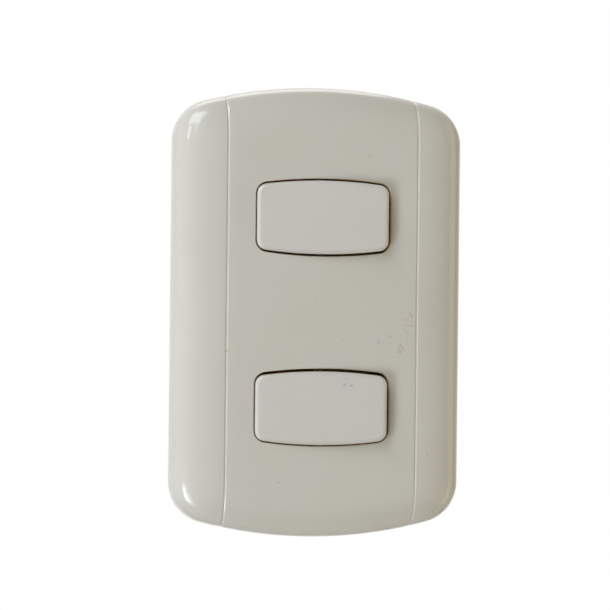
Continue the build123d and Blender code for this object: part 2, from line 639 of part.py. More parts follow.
def make_terminal_block(side):
    """Brass block of a terminal: wire bore with a wider mouth, and the clamping screw's hole."""
    block_end = block_x + BLOCK_LENGTH / 2
    with BuildPart() as block:
        with BuildSketch(wall_plane(block_front)):
            with Locations((side * block_x, 0)):
                Rectangle(BLOCK_LENGTH, BLOCK_WIDTH)
        extrude(amount=-HOUSING_DEPTH - block_front)
        with BuildSketch(wall_plane(-HOUSING_DEPTH)):
            with Locations((side * wire_x, 0)):
                Circle(WIRE_RADIUS)
        extrude(amount=WIRE_DEPTH, mode=Mode.SUBTRACT)
        with BuildSketch(wall_plane(-HOUSING_DEPTH)):
            with Locations((side * wire_x, 0)):
                Circle(CLAMP_RADIUS)
        extrude(amount=WIRE_DEPTH + CLAMP_DEPTH, mode=Mode.SUBTRACT)
        with BuildSketch(end_plane(side * block_end)):
            with Locations((-clamp_height, 0)):
                Circle(CLAMP_SCREW_RADIUS + CLAMP_SCREW_CLEARANCE)
        extrude(amount=-side * (block_end - wire_x), mode=Mode.SUBTRACT)
    return block.part


def make_common_terminal():
    """Terminal of the fixed pole: block, strip, and the knife and prongs that carry the blade."""
    strip_end = block_x - BLOCK_LENGTH / 2
    prong_pitch = KNIFE_WIDTH + 2 * PRONG_CLEARANCE + PRONG_WIDTH
    with BuildPart() as common_terminal:
        add(make_terminal_block(1))
        with BuildSketch(wall_plane(strip_front)):
            with Locations(((strip_end - KNIFE_RADIUS) / 2, 0)):
                Rectangle(strip_end + KNIFE_RADIUS, STRIP_WIDTH)
            Rectangle(2 * KNIFE_RADIUS, prong_pitch + PRONG_WIDTH)
        extrude(amount=-STRIP_THICKNESS)
        with BuildSketch(Plane.XY.offset(-KNIFE_WIDTH / 2)):
            with Locations((0, -knife_centre)):
                Circle(KNIFE_RADIUS)
            with Locations((0, -(knife_centre + strip_front) / 2)):
                Rectangle(2 * KNIFE_RADIUS, knife_centre - strip_front)
        extrude(amount=KNIFE_WIDTH)
        with BuildSketch(wall_plane(strip_front)):
            with GridLocations(0, prong_pitch, 1, 2):
                Rectangle(2 * KNIFE_RADIUS, PRONG_WIDTH)
        extrude(amount=blade_front + PRONG_RISE - strip_front)
    return common_terminal.part


def make_line_terminal():
    """Terminal of the switched pole: block and the tongue that carries the fixed contact."""
    tongue_start = block_x - BLOCK_LENGTH / 2
    tongue_end = contact_x - CONTACT_RADIUS
    with BuildPart() as line_terminal:
        add(make_terminal_block(-1))
        with BuildSketch(wall_plane(tongue_front)):
            with Locations((-(tongue_start + tongue_end) / 2, 0)):
                Rectangle(tongue_start - tongue_end, STRIP_WIDTH)
            with Locations((-contact_x, 0)):
                Circle(CONTACT_SHANK_RADIUS + CONTACT_SHANK_CLEARANCE, mode=Mode.SUBTRACT)
        extrude(amount=-STRIP_THICKNESS)
    return line_terminal.part


def make_terminal_screws():
    """The two slotted clamping screws of a module, driven in from its ends."""
    tip = wire_x + CLAMP_RADIUS + CLAMP_SCREW_TIP
    end = housing_end + CLAMP_SCREW_PROUD
    with BuildPart() as terminal_screws:
        for side in (-1, 1):
            with BuildSketch(end_plane(side * tip)):
                with Locations((-clamp_height, 0)):
                    Circle(CLAMP_SCREW_RADIUS)
            extrude(amount=side * (end - tip))
            with BuildSketch(end_plane(side * end)):
                with Locations((-clamp_height, 0)):
                    Rectangle(2 * CLAMP_SCREW_RADIUS, CLAMP_SLOT_WIDTH)
            extrude(amount=-side * CLAMP_SLOT_DEPTH, mode=Mode.SUBTRACT)
    return terminal_screws.part


def tilted(piece, height, angle):
    """A piece turned about the vertical line through the middle of its module at a height."""
    return piece.rotate(Axis((0, -height, 0), (0, 0, 1)), angle)


def save(piece, name, place=(0, 0, 0)):
    """Write one piece, moved to its place, as parts/<name>.step."""
    placed = piece.moved(Location(place))
    placed.label = name
    export_step(placed, f"parts/{name}.step")


os.makedirs("parts", exist_ok=True)

save(make_cover_plate(), "cover_plate")
save(make_mounting_frame(), "mounting_frame")
mounting_screw = make_mounting_screw()
save(mounting_screw, "upper_mounting_screw", (0, 0, SCREW_PITCH / 2))
save(mounting_screw, "lower_mounting_screw", (0, 0, -SCREW_PITCH / 2))

moving_contact = make_contact(BLADE_THICKNESS).rotate(Axis.Z, 180)
moving_contact = moving_contact.moved(Location((-contact_x, -blade_back, 0)))
fixed_contact = make_contact(STRIP_THICKNESS).moved(Location((-contact_x, -tongue_front, 0)))
module_pieces = {
    "key": tilted(make_key(), pivot_height, -KEY_TILT),
    "rocker": tilted(make_rocker(), pivot_height, -KEY_TILT),
    "plunger": tilted(make_plunger(), pivot_height, -KEY_TILT),
    "spring": tilted(make_spring(), pivot_height, -KEY_TILT),
    "module_front": make_module_front(),
    "housing": make_housing(),
    "contact_blade": tilted(make_contact_blade(), knife_centre, BLADE_TILT),
    "moving_contact": tilted(moving_contact, knife_centre, BLADE_TILT),
    "common_terminal": make_common_terminal(),
    "line_terminal": make_line_terminal(),
    "fixed_contact": fixed_contact,
    "terminal_screws": make_terminal_screws(),
}
for side, direction in (("upper", 1), ("lower", -1)):
    centre = direction * MODULE_PITCH / 2 + MODULE_SETTLE[side]
    for name, piece in module_pieces.items():
        save(piece, f"{side}_{name}", (0, 0, centre))
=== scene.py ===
"""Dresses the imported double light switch: finished surfaces, materials, light and camera.

Sizes of the pieces are millimetres in the row frame, where the wall is y = 0, the front looks
towards -Y, +X is right and +Z is up; Mesh.build turns them into metres. A rise is measured out
of the wall, so a rise h is the plane y = -h. Lamps, floor, merging distances and the places that
shaders read are in metres, and angles in degrees.
"""
import logging
import math
from dataclasses import dataclass, field
from enum import Enum
from typing import Any, Sequence, Union

import bmesh
import bpy
import numpy as np
from mathutils import Matrix, Vector


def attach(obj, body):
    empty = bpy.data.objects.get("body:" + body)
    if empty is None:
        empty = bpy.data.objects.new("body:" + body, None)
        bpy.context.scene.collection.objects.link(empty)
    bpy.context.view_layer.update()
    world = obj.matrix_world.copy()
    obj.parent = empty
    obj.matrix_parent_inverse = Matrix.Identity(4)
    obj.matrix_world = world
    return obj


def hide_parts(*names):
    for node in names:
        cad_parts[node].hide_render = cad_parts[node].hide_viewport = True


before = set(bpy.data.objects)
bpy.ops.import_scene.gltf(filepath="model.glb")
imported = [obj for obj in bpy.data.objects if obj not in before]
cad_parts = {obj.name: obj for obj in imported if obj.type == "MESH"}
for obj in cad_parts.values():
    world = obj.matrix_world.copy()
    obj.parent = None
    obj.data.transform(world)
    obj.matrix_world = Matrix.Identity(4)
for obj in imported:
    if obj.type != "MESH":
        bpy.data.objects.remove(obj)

Array = np.ndarray
Colour = tuple[float, float, float]
Number = Union[float, Array]

METRES = 0.001
MERGE_DISTANCE = 2e-6
LEAST_EDGE = 1e-7
FLAT_ANGLE = 0.5
BEVEL_ANGLE = 40.0
NOISE_MIDDLE = 0.5
log = logging.getLogger("light_switch")


# Surfaces

@dataclass(frozen=True)
class Barrel:
    """Outline with straight upright sides, bowed ends and rounded corners.

    Each size may be an array with one row per outline, so that one object stands for a family
    of outlines, one inside the other.
    """

    half_width: Number
    half_height: Number
    bow_radius: Number
    corner_radius: Number

    @property
    def bow_centre(self) -> Number:
        """Height of the centre of the upper bow."""
        return self.half_height - self.bow_radius

    @property
    def corner_z(self) -> Number:
        """Height of the centre of the corner: the corner's circle touches the bow's inside."""
        reach = self.bow_radius - self.corner_radius
        return self.bow_centre + np.sqrt(reach**2 - (self.half_width - self.corner_radius)**2)

    @property
    def turn(self) -> Number:
        """Angle of the corner, from the upright side to where it meets the bow."""
        return np.arctan2(self.corner_z - self.bow_centre, self.half_width - self.corner_radius)

    def inset(self, distance: Number) -> "Barrel":
        """The outline moved inwards by a distance, all its curves kept parallel."""
        return Barrel(self.half_width - distance, self.half_height - distance,
                      self.bow_radius - distance, self.corner_radius - distance)

    def top(self, x: Number) -> Array:
        """Height of the outline above x.

        On the bow, z = bow centre + sqrt(bow radius^2 - x^2); past where the corner begins,
        z = corner centre + sqrt(corner radius^2 - (x - corner centre x)^2).

        Args:
            x: Distance from the middle, at most the half width.

        Returns:
            The heights, in the shape of x and the sizes together.
        """
        away = np.clip((x - self.half_width + self.corner_radius) / self.corner_radius, -1, 1)
        corner = self.corner_z + self.corner_radius * np.sqrt(1 - away**2)
        bow = self.bow_centre + np.sqrt(self.bow_radius**2 - x**2)
        return np.where(x > self.bow_radius * np.cos(self.turn), corner, bow)

    def around_corner(self, share: Number, stop_x: Number) -> tuple[Array, Array]:
        """Points from the end of the upright side, round the corner, to the bow above stop_x.

        The way is measured along the curve: first on the corner's circle, as far as its turn or
        until x falls to stop_x, then on the bow's circle.

        Args:
            share: Share of the way, from 0 to 1.
            stop_x: Where the way ends.

        Returns:
            The x and z of the points.
        """
        tangent_x = self.bow_radius * np.cos(self.turn)
        middle = self.half_width - self.corner_radius
        early = np.arccos(np.clip((stop_x - middle) / self.corner_radius, -1, 1))
        bend_end = np.where(stop_x > tangent_x, early, self.turn)
        bend_way = self.corner_radius * bend_end
        bow_way = self.bow_radius * np.maximum(np.arccos(stop_x / self.bow_radius) - self.turn, 0)
        travel = share * (bend_way + np.where(stop_x < tangent_x, bow_way, 0))
        bend = np.minimum(travel, bend_way) / self.corner_radius
        bow = self.turn + np.maximum(travel - bend_way, 0) / self.bow_radius
        on_bow = travel > bend_way
        x = np.where(on_bow, self.bow_radius * np.cos(bow),
                     middle + self.corner_radius * np.cos(bend))
        z = np.where(on_bow, self.bow_centre + self.bow_radius * np.sin(bow),
                     self.corner_z + self.corner_radius * np.sin(bend))
        return x, z

    def quarter(self, side: Array, corner: Array, top_x: Array) -> tuple[Array, Array]:
        """The upper right quarter, from the middle of the side to the middle of the top.

        Args:
            side: Shares of the upright side, from 0 to 1.
            corner: Shares of the way round the corner, after the side's last point.
            top_x: The x of the points after the corner, falling to 0. The first one is where
                the corner's way ends, and isn't repeated.

        Returns:
            The x and z of the points, one row per outline.
        """
        rows = np.ones_like(np.atleast_2d(self.half_width), float)
        corner_x, corner_z = self.around_corner(corner, top_x[0])
        x = np.hstack([rows * self.half_width * np.ones_like(side), rows * corner_x,
                       rows * top_x[1:]])
        z = np.hstack([rows * self.corner_z * side, rows * corner_z,
                       rows * self.top(top_x[1:])])
        return x, z

    def loop(self, side_steps: int, corner_steps: int, top_steps: int) -> tuple[Array, Array]:
        """The whole outline as one closed loop, by mirroring its quarter twice.

        Args:
            side_steps: Steps on half of an upright side.
            corner_steps: Steps round a corner.
            top_steps: Steps on half of a bow, with eight more in its middle tenth.

        Returns:
            The x and z of the points, one row per outline, the first point repeated at the end.
        """
        stop = np.min(self.bow_radius * np.cos(self.turn))
        middle = stop / 10
        x, z = self.quarter(np.linspace(0, 1, side_steps + 1),
                            np.linspace(0, 1, corner_steps + 1)[1:],
                            steps((stop, middle, top_steps), (middle, 0, 8)))
        upper_x, upper_z = np.hstack([x, -x[:, -2::-1]]), np.hstack([z, z[:, -2::-1]])
        return (np.hstack([upper_x, upper_x[:, -2::-1]]),
                np.hstack([upper_z, -upper_z[:, -2::-1]]))


def in_space(x: Number, rise: Number, z: Number) -> Array:
    """Points from their x, their rise out of the wall and their z, broadcast together."""
    x, rise, z = np.broadcast_arrays(x, rise, z)
    return np.stack([x, -rise, z], axis=-1)


def between(share: Number, start: tuple[Array, Array],
            end: tuple[Array, Array]) -> tuple[Array, Array]:
    """The x and z of points a share of the way from start to end."""
    return tuple(first + share * (last - first) for first, last in zip(start, end))


def steps(*stretches: tuple[float, float, int]) -> Array:
    """Rising or falling numbers from stretches (start, end, how many steps), joined up."""
    parts = [np.linspace(start, end, count + 1)[1:] for start, end, count in stretches]
    return np.hstack([[stretches[0][0]], *parts])


@dataclass
class Mesh:
    """Grids and prisms gathered into one mesh, in millimetres."""

    points: list[Array] = field(default_factory=list)
    faces: list[tuple[int, ...]] = field(default_factory=list)
    count: int = 0

    def add_points(self, points: Array) -> Array:
        """Keeps points of any grid shape and returns their numbers in that shape."""
        flat = points.reshape(-1, 3)
        numbers = np.arange(len(flat)).reshape(points.shape[:-1]) + self.count
        self.points.append(flat)
        self.count += len(flat)
        return numbers

    def add_grid(self, grid: Array) -> None:
        """Adds a grid of points of shape (rows, columns, 3) as quads."""
        n = self.add_points(grid)
        quads = np.stack([n[:-1, :-1], n[:-1, 1:], n[1:, 1:], n[1:, :-1]], axis=-1)
        self.faces.extend(map(tuple, quads.reshape(-1, 4).tolist()))

    def add_quadrants(self, grid: Array) -> None:
        """Adds a grid of the upper right quadrant and its three mirror images."""
        for across in (1, -1):
            for up in (1, -1):
                self.add_grid(grid * np.array([across, 1, up]))

    def add_prism(self, profile: Array, middle: float, half: float) -> None:
        """Adds a closed prism: an outline of (x, rise) points carried along Z.

        Args:
            profile: The outline, of shape (points, 2), its first point not repeated.
            middle: Z of the prism's middle.
            half: Half of its length.
        """
        ends = np.array([middle - half, middle + half])[:, None]
        n = self.add_points(in_space(profile[None, :, 0], profile[None, :, 1], ends))
        after = np.roll(n, -1, axis=1)
        sides = np.stack([n[0], after[0], after[1], n[1]], axis=-1)
        self.faces.extend(map(tuple, sides.tolist()))
        self.faces.append(tuple(n[0].tolist()))
        self.faces.append(tuple(n[1].tolist()))

    def build(self, name: str, sharp_angle: float, turn: Matrix = Matrix()) -> bpy.types.Object:
        """Makes the object: points merged, faces turned outwards, smooth but for sharp edges.

        Args:
            name: The object's name.
            sharp_angle: Edges that turn by more than this angle in degrees stay sharp.
            turn: A turn or move of the whole mesh, in millimetres.

        Returns:
            The object, at the origin, with its place in its mesh.
        """
        data = bpy.data.meshes.new(name)
        data.from_pydata(np.vstack(self.points).tolist(), [], self.faces)
        data.transform(Matrix.Scale(METRES, 4) @ turn)
        obj = bpy.data.objects.new(name, data)
        bpy.context.scene.collection.objects.link(obj)
        stitch(data, sharp_angle)
        return obj


def stitch(data: bpy.types.Mesh, sharp_angle: float) -> None:
    """Merges a mesh's doubled points, turns its faces outwards and smooths it.

    Args:
        data: The mesh, in metres.
        sharp_angle: Edges that turn by more than this angle in degrees stay sharp.
    """
    work = bmesh.new()
    work.from_mesh(data)
    bmesh.ops.remove_doubles(work, verts=work.verts, dist=MERGE_DISTANCE)
    bmesh.ops.dissolve_degenerate(work, edges=work.edges, dist=LEAST_EDGE)
    bmesh.ops.recalc_face_normals(work, faces=work.faces)
    work.to_mesh(data)
    work.free()
    data.shade_smooth()
    data.set_sharp_from_angle(angle=math.radians(sharp_angle))


# Shader values

class Value:
    """A shader socket on which Python's arithmetic adds Math nodes."""

    def __init__(self, graph: "Graph", socket: bpy.types.NodeSocket) -> None:
        """Wraps a socket of a graph."""
        self.graph = graph
        self.socket = socket

    def math(self, operation: str, *others: Any) -> "Value":
        """The result of a Math node with this value first."""
        node = self.graph.node("ShaderNodeMath", {"operation": operation},
                               {i: v for i, v in enumerate((self, *others))})
        return Value(self.graph, node.outputs[0])

    def after(self, operation: str, other: float) -> "Value":
        """The result of a Math node with a plain number first and this value second."""
        node = self.graph.node("ShaderNodeMath", {"operation": operation}, {0: other, 1: self})
        return Value(self.graph, node.outputs[0])

    def __add__(self, other: Any) -> "Value":
        """Sum."""
        return self.math("ADD", other)

    __radd__ = __add__

    def __sub__(self, other: Any) -> "Value":
        """Difference."""
        return self.math("SUBTRACT", other)

    def __rsub__(self, other: float) -> "Value":
        """Difference from a plain number."""
        return self.after("SUBTRACT", other)

    def __mul__(self, other: Any) -> "Value":
        """Product."""
        return self.math("MULTIPLY", other)

    __rmul__ = __mul__

    def __truediv__(self, other: Any) -> "Value":
        """Quotient."""
        return self.math("DIVIDE", other)

    def __lt__(self, other: Any) -> "Value":
        """1 where this value is the smaller one."""
        return self.math("LESS_THAN", other)

    def __abs__(self) -> "Value":
        """Absolute value."""
        return self.math("ABSOLUTE")

    def fade(self, start: float, end: float, low: float = 0.0, high: float = 1.0) -> "Value":
        """A smooth change from low, where this value is start, to high, where it is end."""
        node = self.graph.node("ShaderNodeMapRange", {"interpolation_type": "SMOOTHSTEP"},
                               {"Value": self, "From Min": start, "From Max": end,
                                "To Min": low, "To Max": high})
        return Value(self.graph, node.outputs["Result"])


class Graph:
    """The node tree of one material or world."""

    def __init__(self, tree: bpy.types.NodeTree) -> None:
        """Empties the tree and keeps it."""
        tree.nodes.clear()
        self.tree = tree

    def node(self, kind: str, settings: dict[str, Any], inputs: dict[Any, Any]) -> Any:
        """Adds a node.

        Args:
            kind: The node's type.
            settings: Its own settings, set first.
            inputs: Values, colours, Values or sockets for its inputs, by name or number.

        Returns:
            The node.
        """
        made = self.tree.nodes.new(kind)
        for key, setting in settings.items():
            setattr(made, key, setting)
        for key, given in inputs.items():
            given = given.socket if isinstance(given, Value) else given
            if isinstance(given, bpy.types.NodeSocket):
                self.tree.links.new(given, made.inputs[key])
            elif isinstance(given, tuple) and made.inputs[key].type == "RGBA":
                made.inputs[key].default_value = (*given, 1.0)
            else:
                made.inputs[key].default_value = given
        return made

    def noise(self, place: Any, grain: float, detail: float = 2.0) -> Value:
        """Noise about 0.5 with a grain in millimetres."""
        node = self.node("ShaderNodeTexNoise", {"noise_dimensions": "3D"},
                         {"Vector": place, "Scale": 1 / (grain * METRES), "Detail": detail})
        return Value(self, node.outputs[0])

    def mix(self, factor: Any, first: Any, second: Any) -> Any:
        """The socket of a colour mix."""
        return self.node("ShaderNodeMix", {"data_type": "RGBA"},
                         {0: factor, 6: first, 7: second}).outputs[2]

    def place(self) -> Any:
        """The socket of the piece's own coordinates, in metres of the row frame."""
        return self.node("ShaderNodeTexCoord", {}, {}).outputs["Object"]

    def ray(self, kind: str) -> Value:
        """1 for rays of a kind, such as Camera or Glossy."""
        return Value(self, self.node("ShaderNodeLightPath", {}, {}).outputs[f"Is {kind} Ray"])

    def axes(self, place: Any) -> tuple[Value, Value, Value]:
        """The x, y and z of a place."""
        node = self.node("ShaderNodeSeparateXYZ", {}, {0: place})
        return tuple(Value(self, out) for out in node.outputs)

    def stretched(self, place: Any, scale: tuple[float, float, float]) -> Any:
        """The socket of a place with its axes scaled, for grain that runs one way."""
        return self.node("ShaderNodeMapping", {}, {"Vector": place, "Scale": scale}).outputs[0]

    def distance(self, place: Any, point: Sequence[float]) -> Value:
        """Distance from a point given in millimetres, itself in millimetres."""
        node = self.node("ShaderNodeVectorMath", {"operation": "DISTANCE"},
                         {0: place, 1: tuple(METRES * c for c in point)})
        return Value(self, node.outputs["Value"]) * (1 / METRES)

    def bump(self, height: Value, depth: float) -> Any:
        """The normal of a bump whose full height is a depth in millimetres."""
        return self.node("ShaderNodeBump", {},
                         {"Distance": depth * METRES, "Height": height}).outputs[0]

    def shader(self, **sockets: Any) -> Any:
        """A Principled BSDF with these sockets, named with underscores."""
        inputs = {key.replace("_", " "): given for key, given in sockets.items()}
        return self.node("ShaderNodeBsdfPrincipled", {}, inputs).outputs[0]

    def blend(self, share: Value, first: Any, second: Any) -> Any:
        """The first shader, and the second where the share is 1."""
        return self.node("ShaderNodeMixShader", {}, {0: share, 1: first, 2: second}).outputs[0]

    def end(self, shader: Any) -> None:
        """Ends the tree in this shader."""
        self.node("ShaderNodeOutputMaterial", {}, {0: shader})

    def surface(self, **sockets: Any) -> None:
        """Ends the tree in a Principled BSDF with these sockets."""
        self.end(self.shader(**sockets))


# Finishes

class Pattern(Enum):
    """How a stain breaks up: not at all, into flecks, or into fine crooked strokes."""

    EVEN = "even"
    FLECKS = "flecks"
    STROKES = "strokes"


@dataclass(frozen=True)
class Mark:
    """A small stain: its place and radius in millimetres, its colour, strength and pattern."""

    place: tuple[float, float, float]
    radius: float
    colour: Colour
    strength: float
    pattern: Pattern = Pattern.EVEN

    def cover(self, graph: Graph, place: Any) -> Value:
        """How much of the surface the stain hides, with a wavy outline."""
        wavy = graph.distance(place, self.place) / self.radius
        wavy = wavy + graph.noise(place, grain=self.radius * 0.8) - NOISE_MIDDLE
        share = wavy.fade(start=1.0, end=0.35) * self.strength
        if self.pattern is Pattern.FLECKS:
            share = share * graph.noise(place, grain=0.7).fade(start=0.48, end=0.66)
        elif self.pattern is Pattern.STROKES:
            lines = abs(graph.noise(place, grain=2.6, detail=3.0) - NOISE_MIDDLE)
            share = share * lines.fade(start=0.05, end=0.012)
        return share


@dataclass(frozen=True)
class Finish:
    """What every finish has: a name, a colour and a roughness."""

    name: str
    colour: Colour
    roughness: float

    def build(self) -> bpy.types.Material:
        """Makes the material."""
        material = bpy.data.materials.new(self.name)
        material.use_nodes = True
        material.diffuse_color = (*self.colour, 1.0)
        self.wire(Graph(material.node_tree))
        return material

    def wire(self, graph: Graph) -> None:
        """Adds the finish's nodes to an empty graph."""
        raise NotImplementedError

    def worn(self, noise: Value, polish: float, wear: float) -> Value:
        """The roughness, less by polish where a noise is low and more by wear where it is high."""
        return noise.fade(start=0.3, end=0.7, low=self.roughness - polish,
                          high=self.roughness + wear)


@dataclass(frozen=True)
class MouldedPlastic(Finish):
    """Moulded plastic: clouded colour, fine dust, worn gloss and a faint skin texture.

    Down in the window's gap, deeper than a rise on a plane that leans with the key, brown is
    painted. It is partly real dirt and partly painted light: a glow of light through the plastic
    in the shaded gap, and a shade tint on the key's shaded right end. It starts at the rise plus
    the lean times x.
    """

    aged: Colour = (0.45, 0.40, 0.30)
    ageing: float = 0.1
    dust: float = 0.25
    skin: float = 0.004
    marks: tuple[Mark, ...] = ()
    dirt_and_painted_light_rise: float = 0.0
    dirt_and_painted_light_lean: float = 0.0
    dirt_and_painted_light_fade: float = 0.2
    gap_dirt_and_painted_light: Colour = (0.62, 0.34, 0.08)
    old_gap_dirt_and_painted_light: Colour = (0.46, 0.23, 0.05)
    gap_centre: float = 24.76
    gap_half_width: float = 18.8
    gap_half_height: float = 10.9

    def wire(self, graph: Graph) -> None:
        """Age clouds, dust and marks; in the gaps brown of dirt with painted glow and shade."""
        place = graph.place()
        clouds = graph.noise(place, grain=22.0, detail=3.0).fade(start=0.35, end=0.75)
        specks = graph.noise(place, grain=0.55, detail=1.0).fade(start=0.70, end=0.78)
        colour = graph.mix(clouds * self.ageing, self.colour, self.aged)
        colour = graph.mix(specks * self.dust, colour, self.aged)
        for mark in self.marks:
            colour = graph.mix(mark.cover(graph, place), colour, mark.colour)
        worn = self.worn(graph.noise(place, grain=6.0, detail=4.0), polish=0.05, wear=0.07)
        waves = graph.noise(place, grain=2.5, detail=1.0) * 1.5
        skin = graph.noise(place, grain=0.35) + waves
        clean = graph.shader(Base_Color=colour, Roughness=worn, IOR=1.42,
                             Normal=graph.bump(skin, self.skin))
        if not self.dirt_and_painted_light_rise:
            graph.end(clean)
            return
        # Brown painted down in the gaps: partly real dirt, partly painted glow and painted shade.
        patchy = graph.noise(place, grain=3.0).fade(start=0.35, end=0.65)
        dirt_and_painted_light_colour = graph.mix(patchy, self.gap_dirt_and_painted_light, self.old_gap_dirt_and_painted_light)
        dirt_and_painted_light_shader = graph.shader(Base_Color=dirt_and_painted_light_colour, Roughness=0.95, Specular_IOR_Level=0.0)
        graph.end(graph.blend(self.gap(graph, place), clean, dirt_and_painted_light_shader))

    def gap(self, graph: Graph, place: Any) -> Value:
        """1 down in the two windows, 0 on the face of the plate and on its wings."""
        x, y, z = graph.axes(place)
        level = abs(abs(z) - self.gap_centre * METRES) < self.gap_half_height * METRES
        inside = (abs(x) < self.gap_half_width * METRES) * level
        depth = y + x * self.dirt_and_painted_light_lean + self.dirt_and_painted_light_rise * METRES
        return depth.fade(start=0.0, end=self.dirt_and_painted_light_fade * METRES) * inside


@dataclass(frozen=True)
class Thermoset(Finish):
    """Pressed thermoset of the modules: flecked filler, matt skin."""

    fleck: Colour = (0.10, 0.06, 0.035)
    flecked: float = 0.6
    skin: float = 0.012

    def wire(self, graph: Graph) -> None:
        """Two sizes of flecks in the colour, and their bump."""
        place = graph.place()
        coarse = graph.noise(place, grain=0.8, detail=4.0)
        fine = graph.noise(place, grain=0.2, detail=1.0)
        flecks = coarse.fade(start=0.35, end=0.7) * self.flecked
        graph.surface(Base_Color=graph.mix(flecks, self.colour, self.fleck), IOR=1.5,
                      Roughness=self.worn(coarse, polish=0.08, wear=0.1),
                      Normal=graph.bump(coarse + fine, self.skin))


class Grain(Enum):
    """Which way a metal's marks of working run."""

    NONE = (1.0, 1.0, 1.0)
    ALONG_X = (0.06, 1.0, 1.0)
    ALONG_Y = (1.0, 0.06, 1.0)


@dataclass(frozen=True)
class Metal(Finish):
    """Worked metal: drawn or rolled grain, tarnish in patches."""

    tarnish: Colour = (0.30, 0.24, 0.17)
    tarnished: float = 0.3
    dulled: float = 0.12
    skin: float = 0.004
    grain: Grain = Grain.NONE

    def wire(self, graph: Graph) -> None:
        """Tarnish by large noise, and fine lines stretched along the grain."""
        place = graph.place()
        patches = graph.noise(place, grain=3.5, detail=4.0).fade(start=0.42, end=0.68)
        lines = graph.noise(graph.stretched(place, self.grain.value), grain=0.18)
        colour = graph.mix(patches * self.tarnished, self.colour, self.tarnish)
        rough = self.worn(lines, polish=0.07, wear=0.07) + patches * self.dulled
        graph.surface(Base_Color=colour, Metallic=1.0, Roughness=rough,
                      Normal=graph.bump(lines, self.skin))


# Pieces

def dress(piece: bpy.types.Object, material: bpy.types.Material, body: str, slot: str,
          nodes: Sequence[str] = ()) -> None:
    """Gives a new piece its material, its body and the nodes it stands for.

    Args:
        piece: The piece.
        material: Its material.
        body: The CAD body that it moves with.
        slot: The record's material slot; not used.
        nodes: CAD nodes that it replaces.
    """
    piece.data.materials.clear()
    piece.data.materials.append(material)
    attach(piece, body)
    if nodes:
        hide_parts(*nodes)
    log.info("%s: %d faces, on %s", piece.name, len(piece.data.polygons), body)


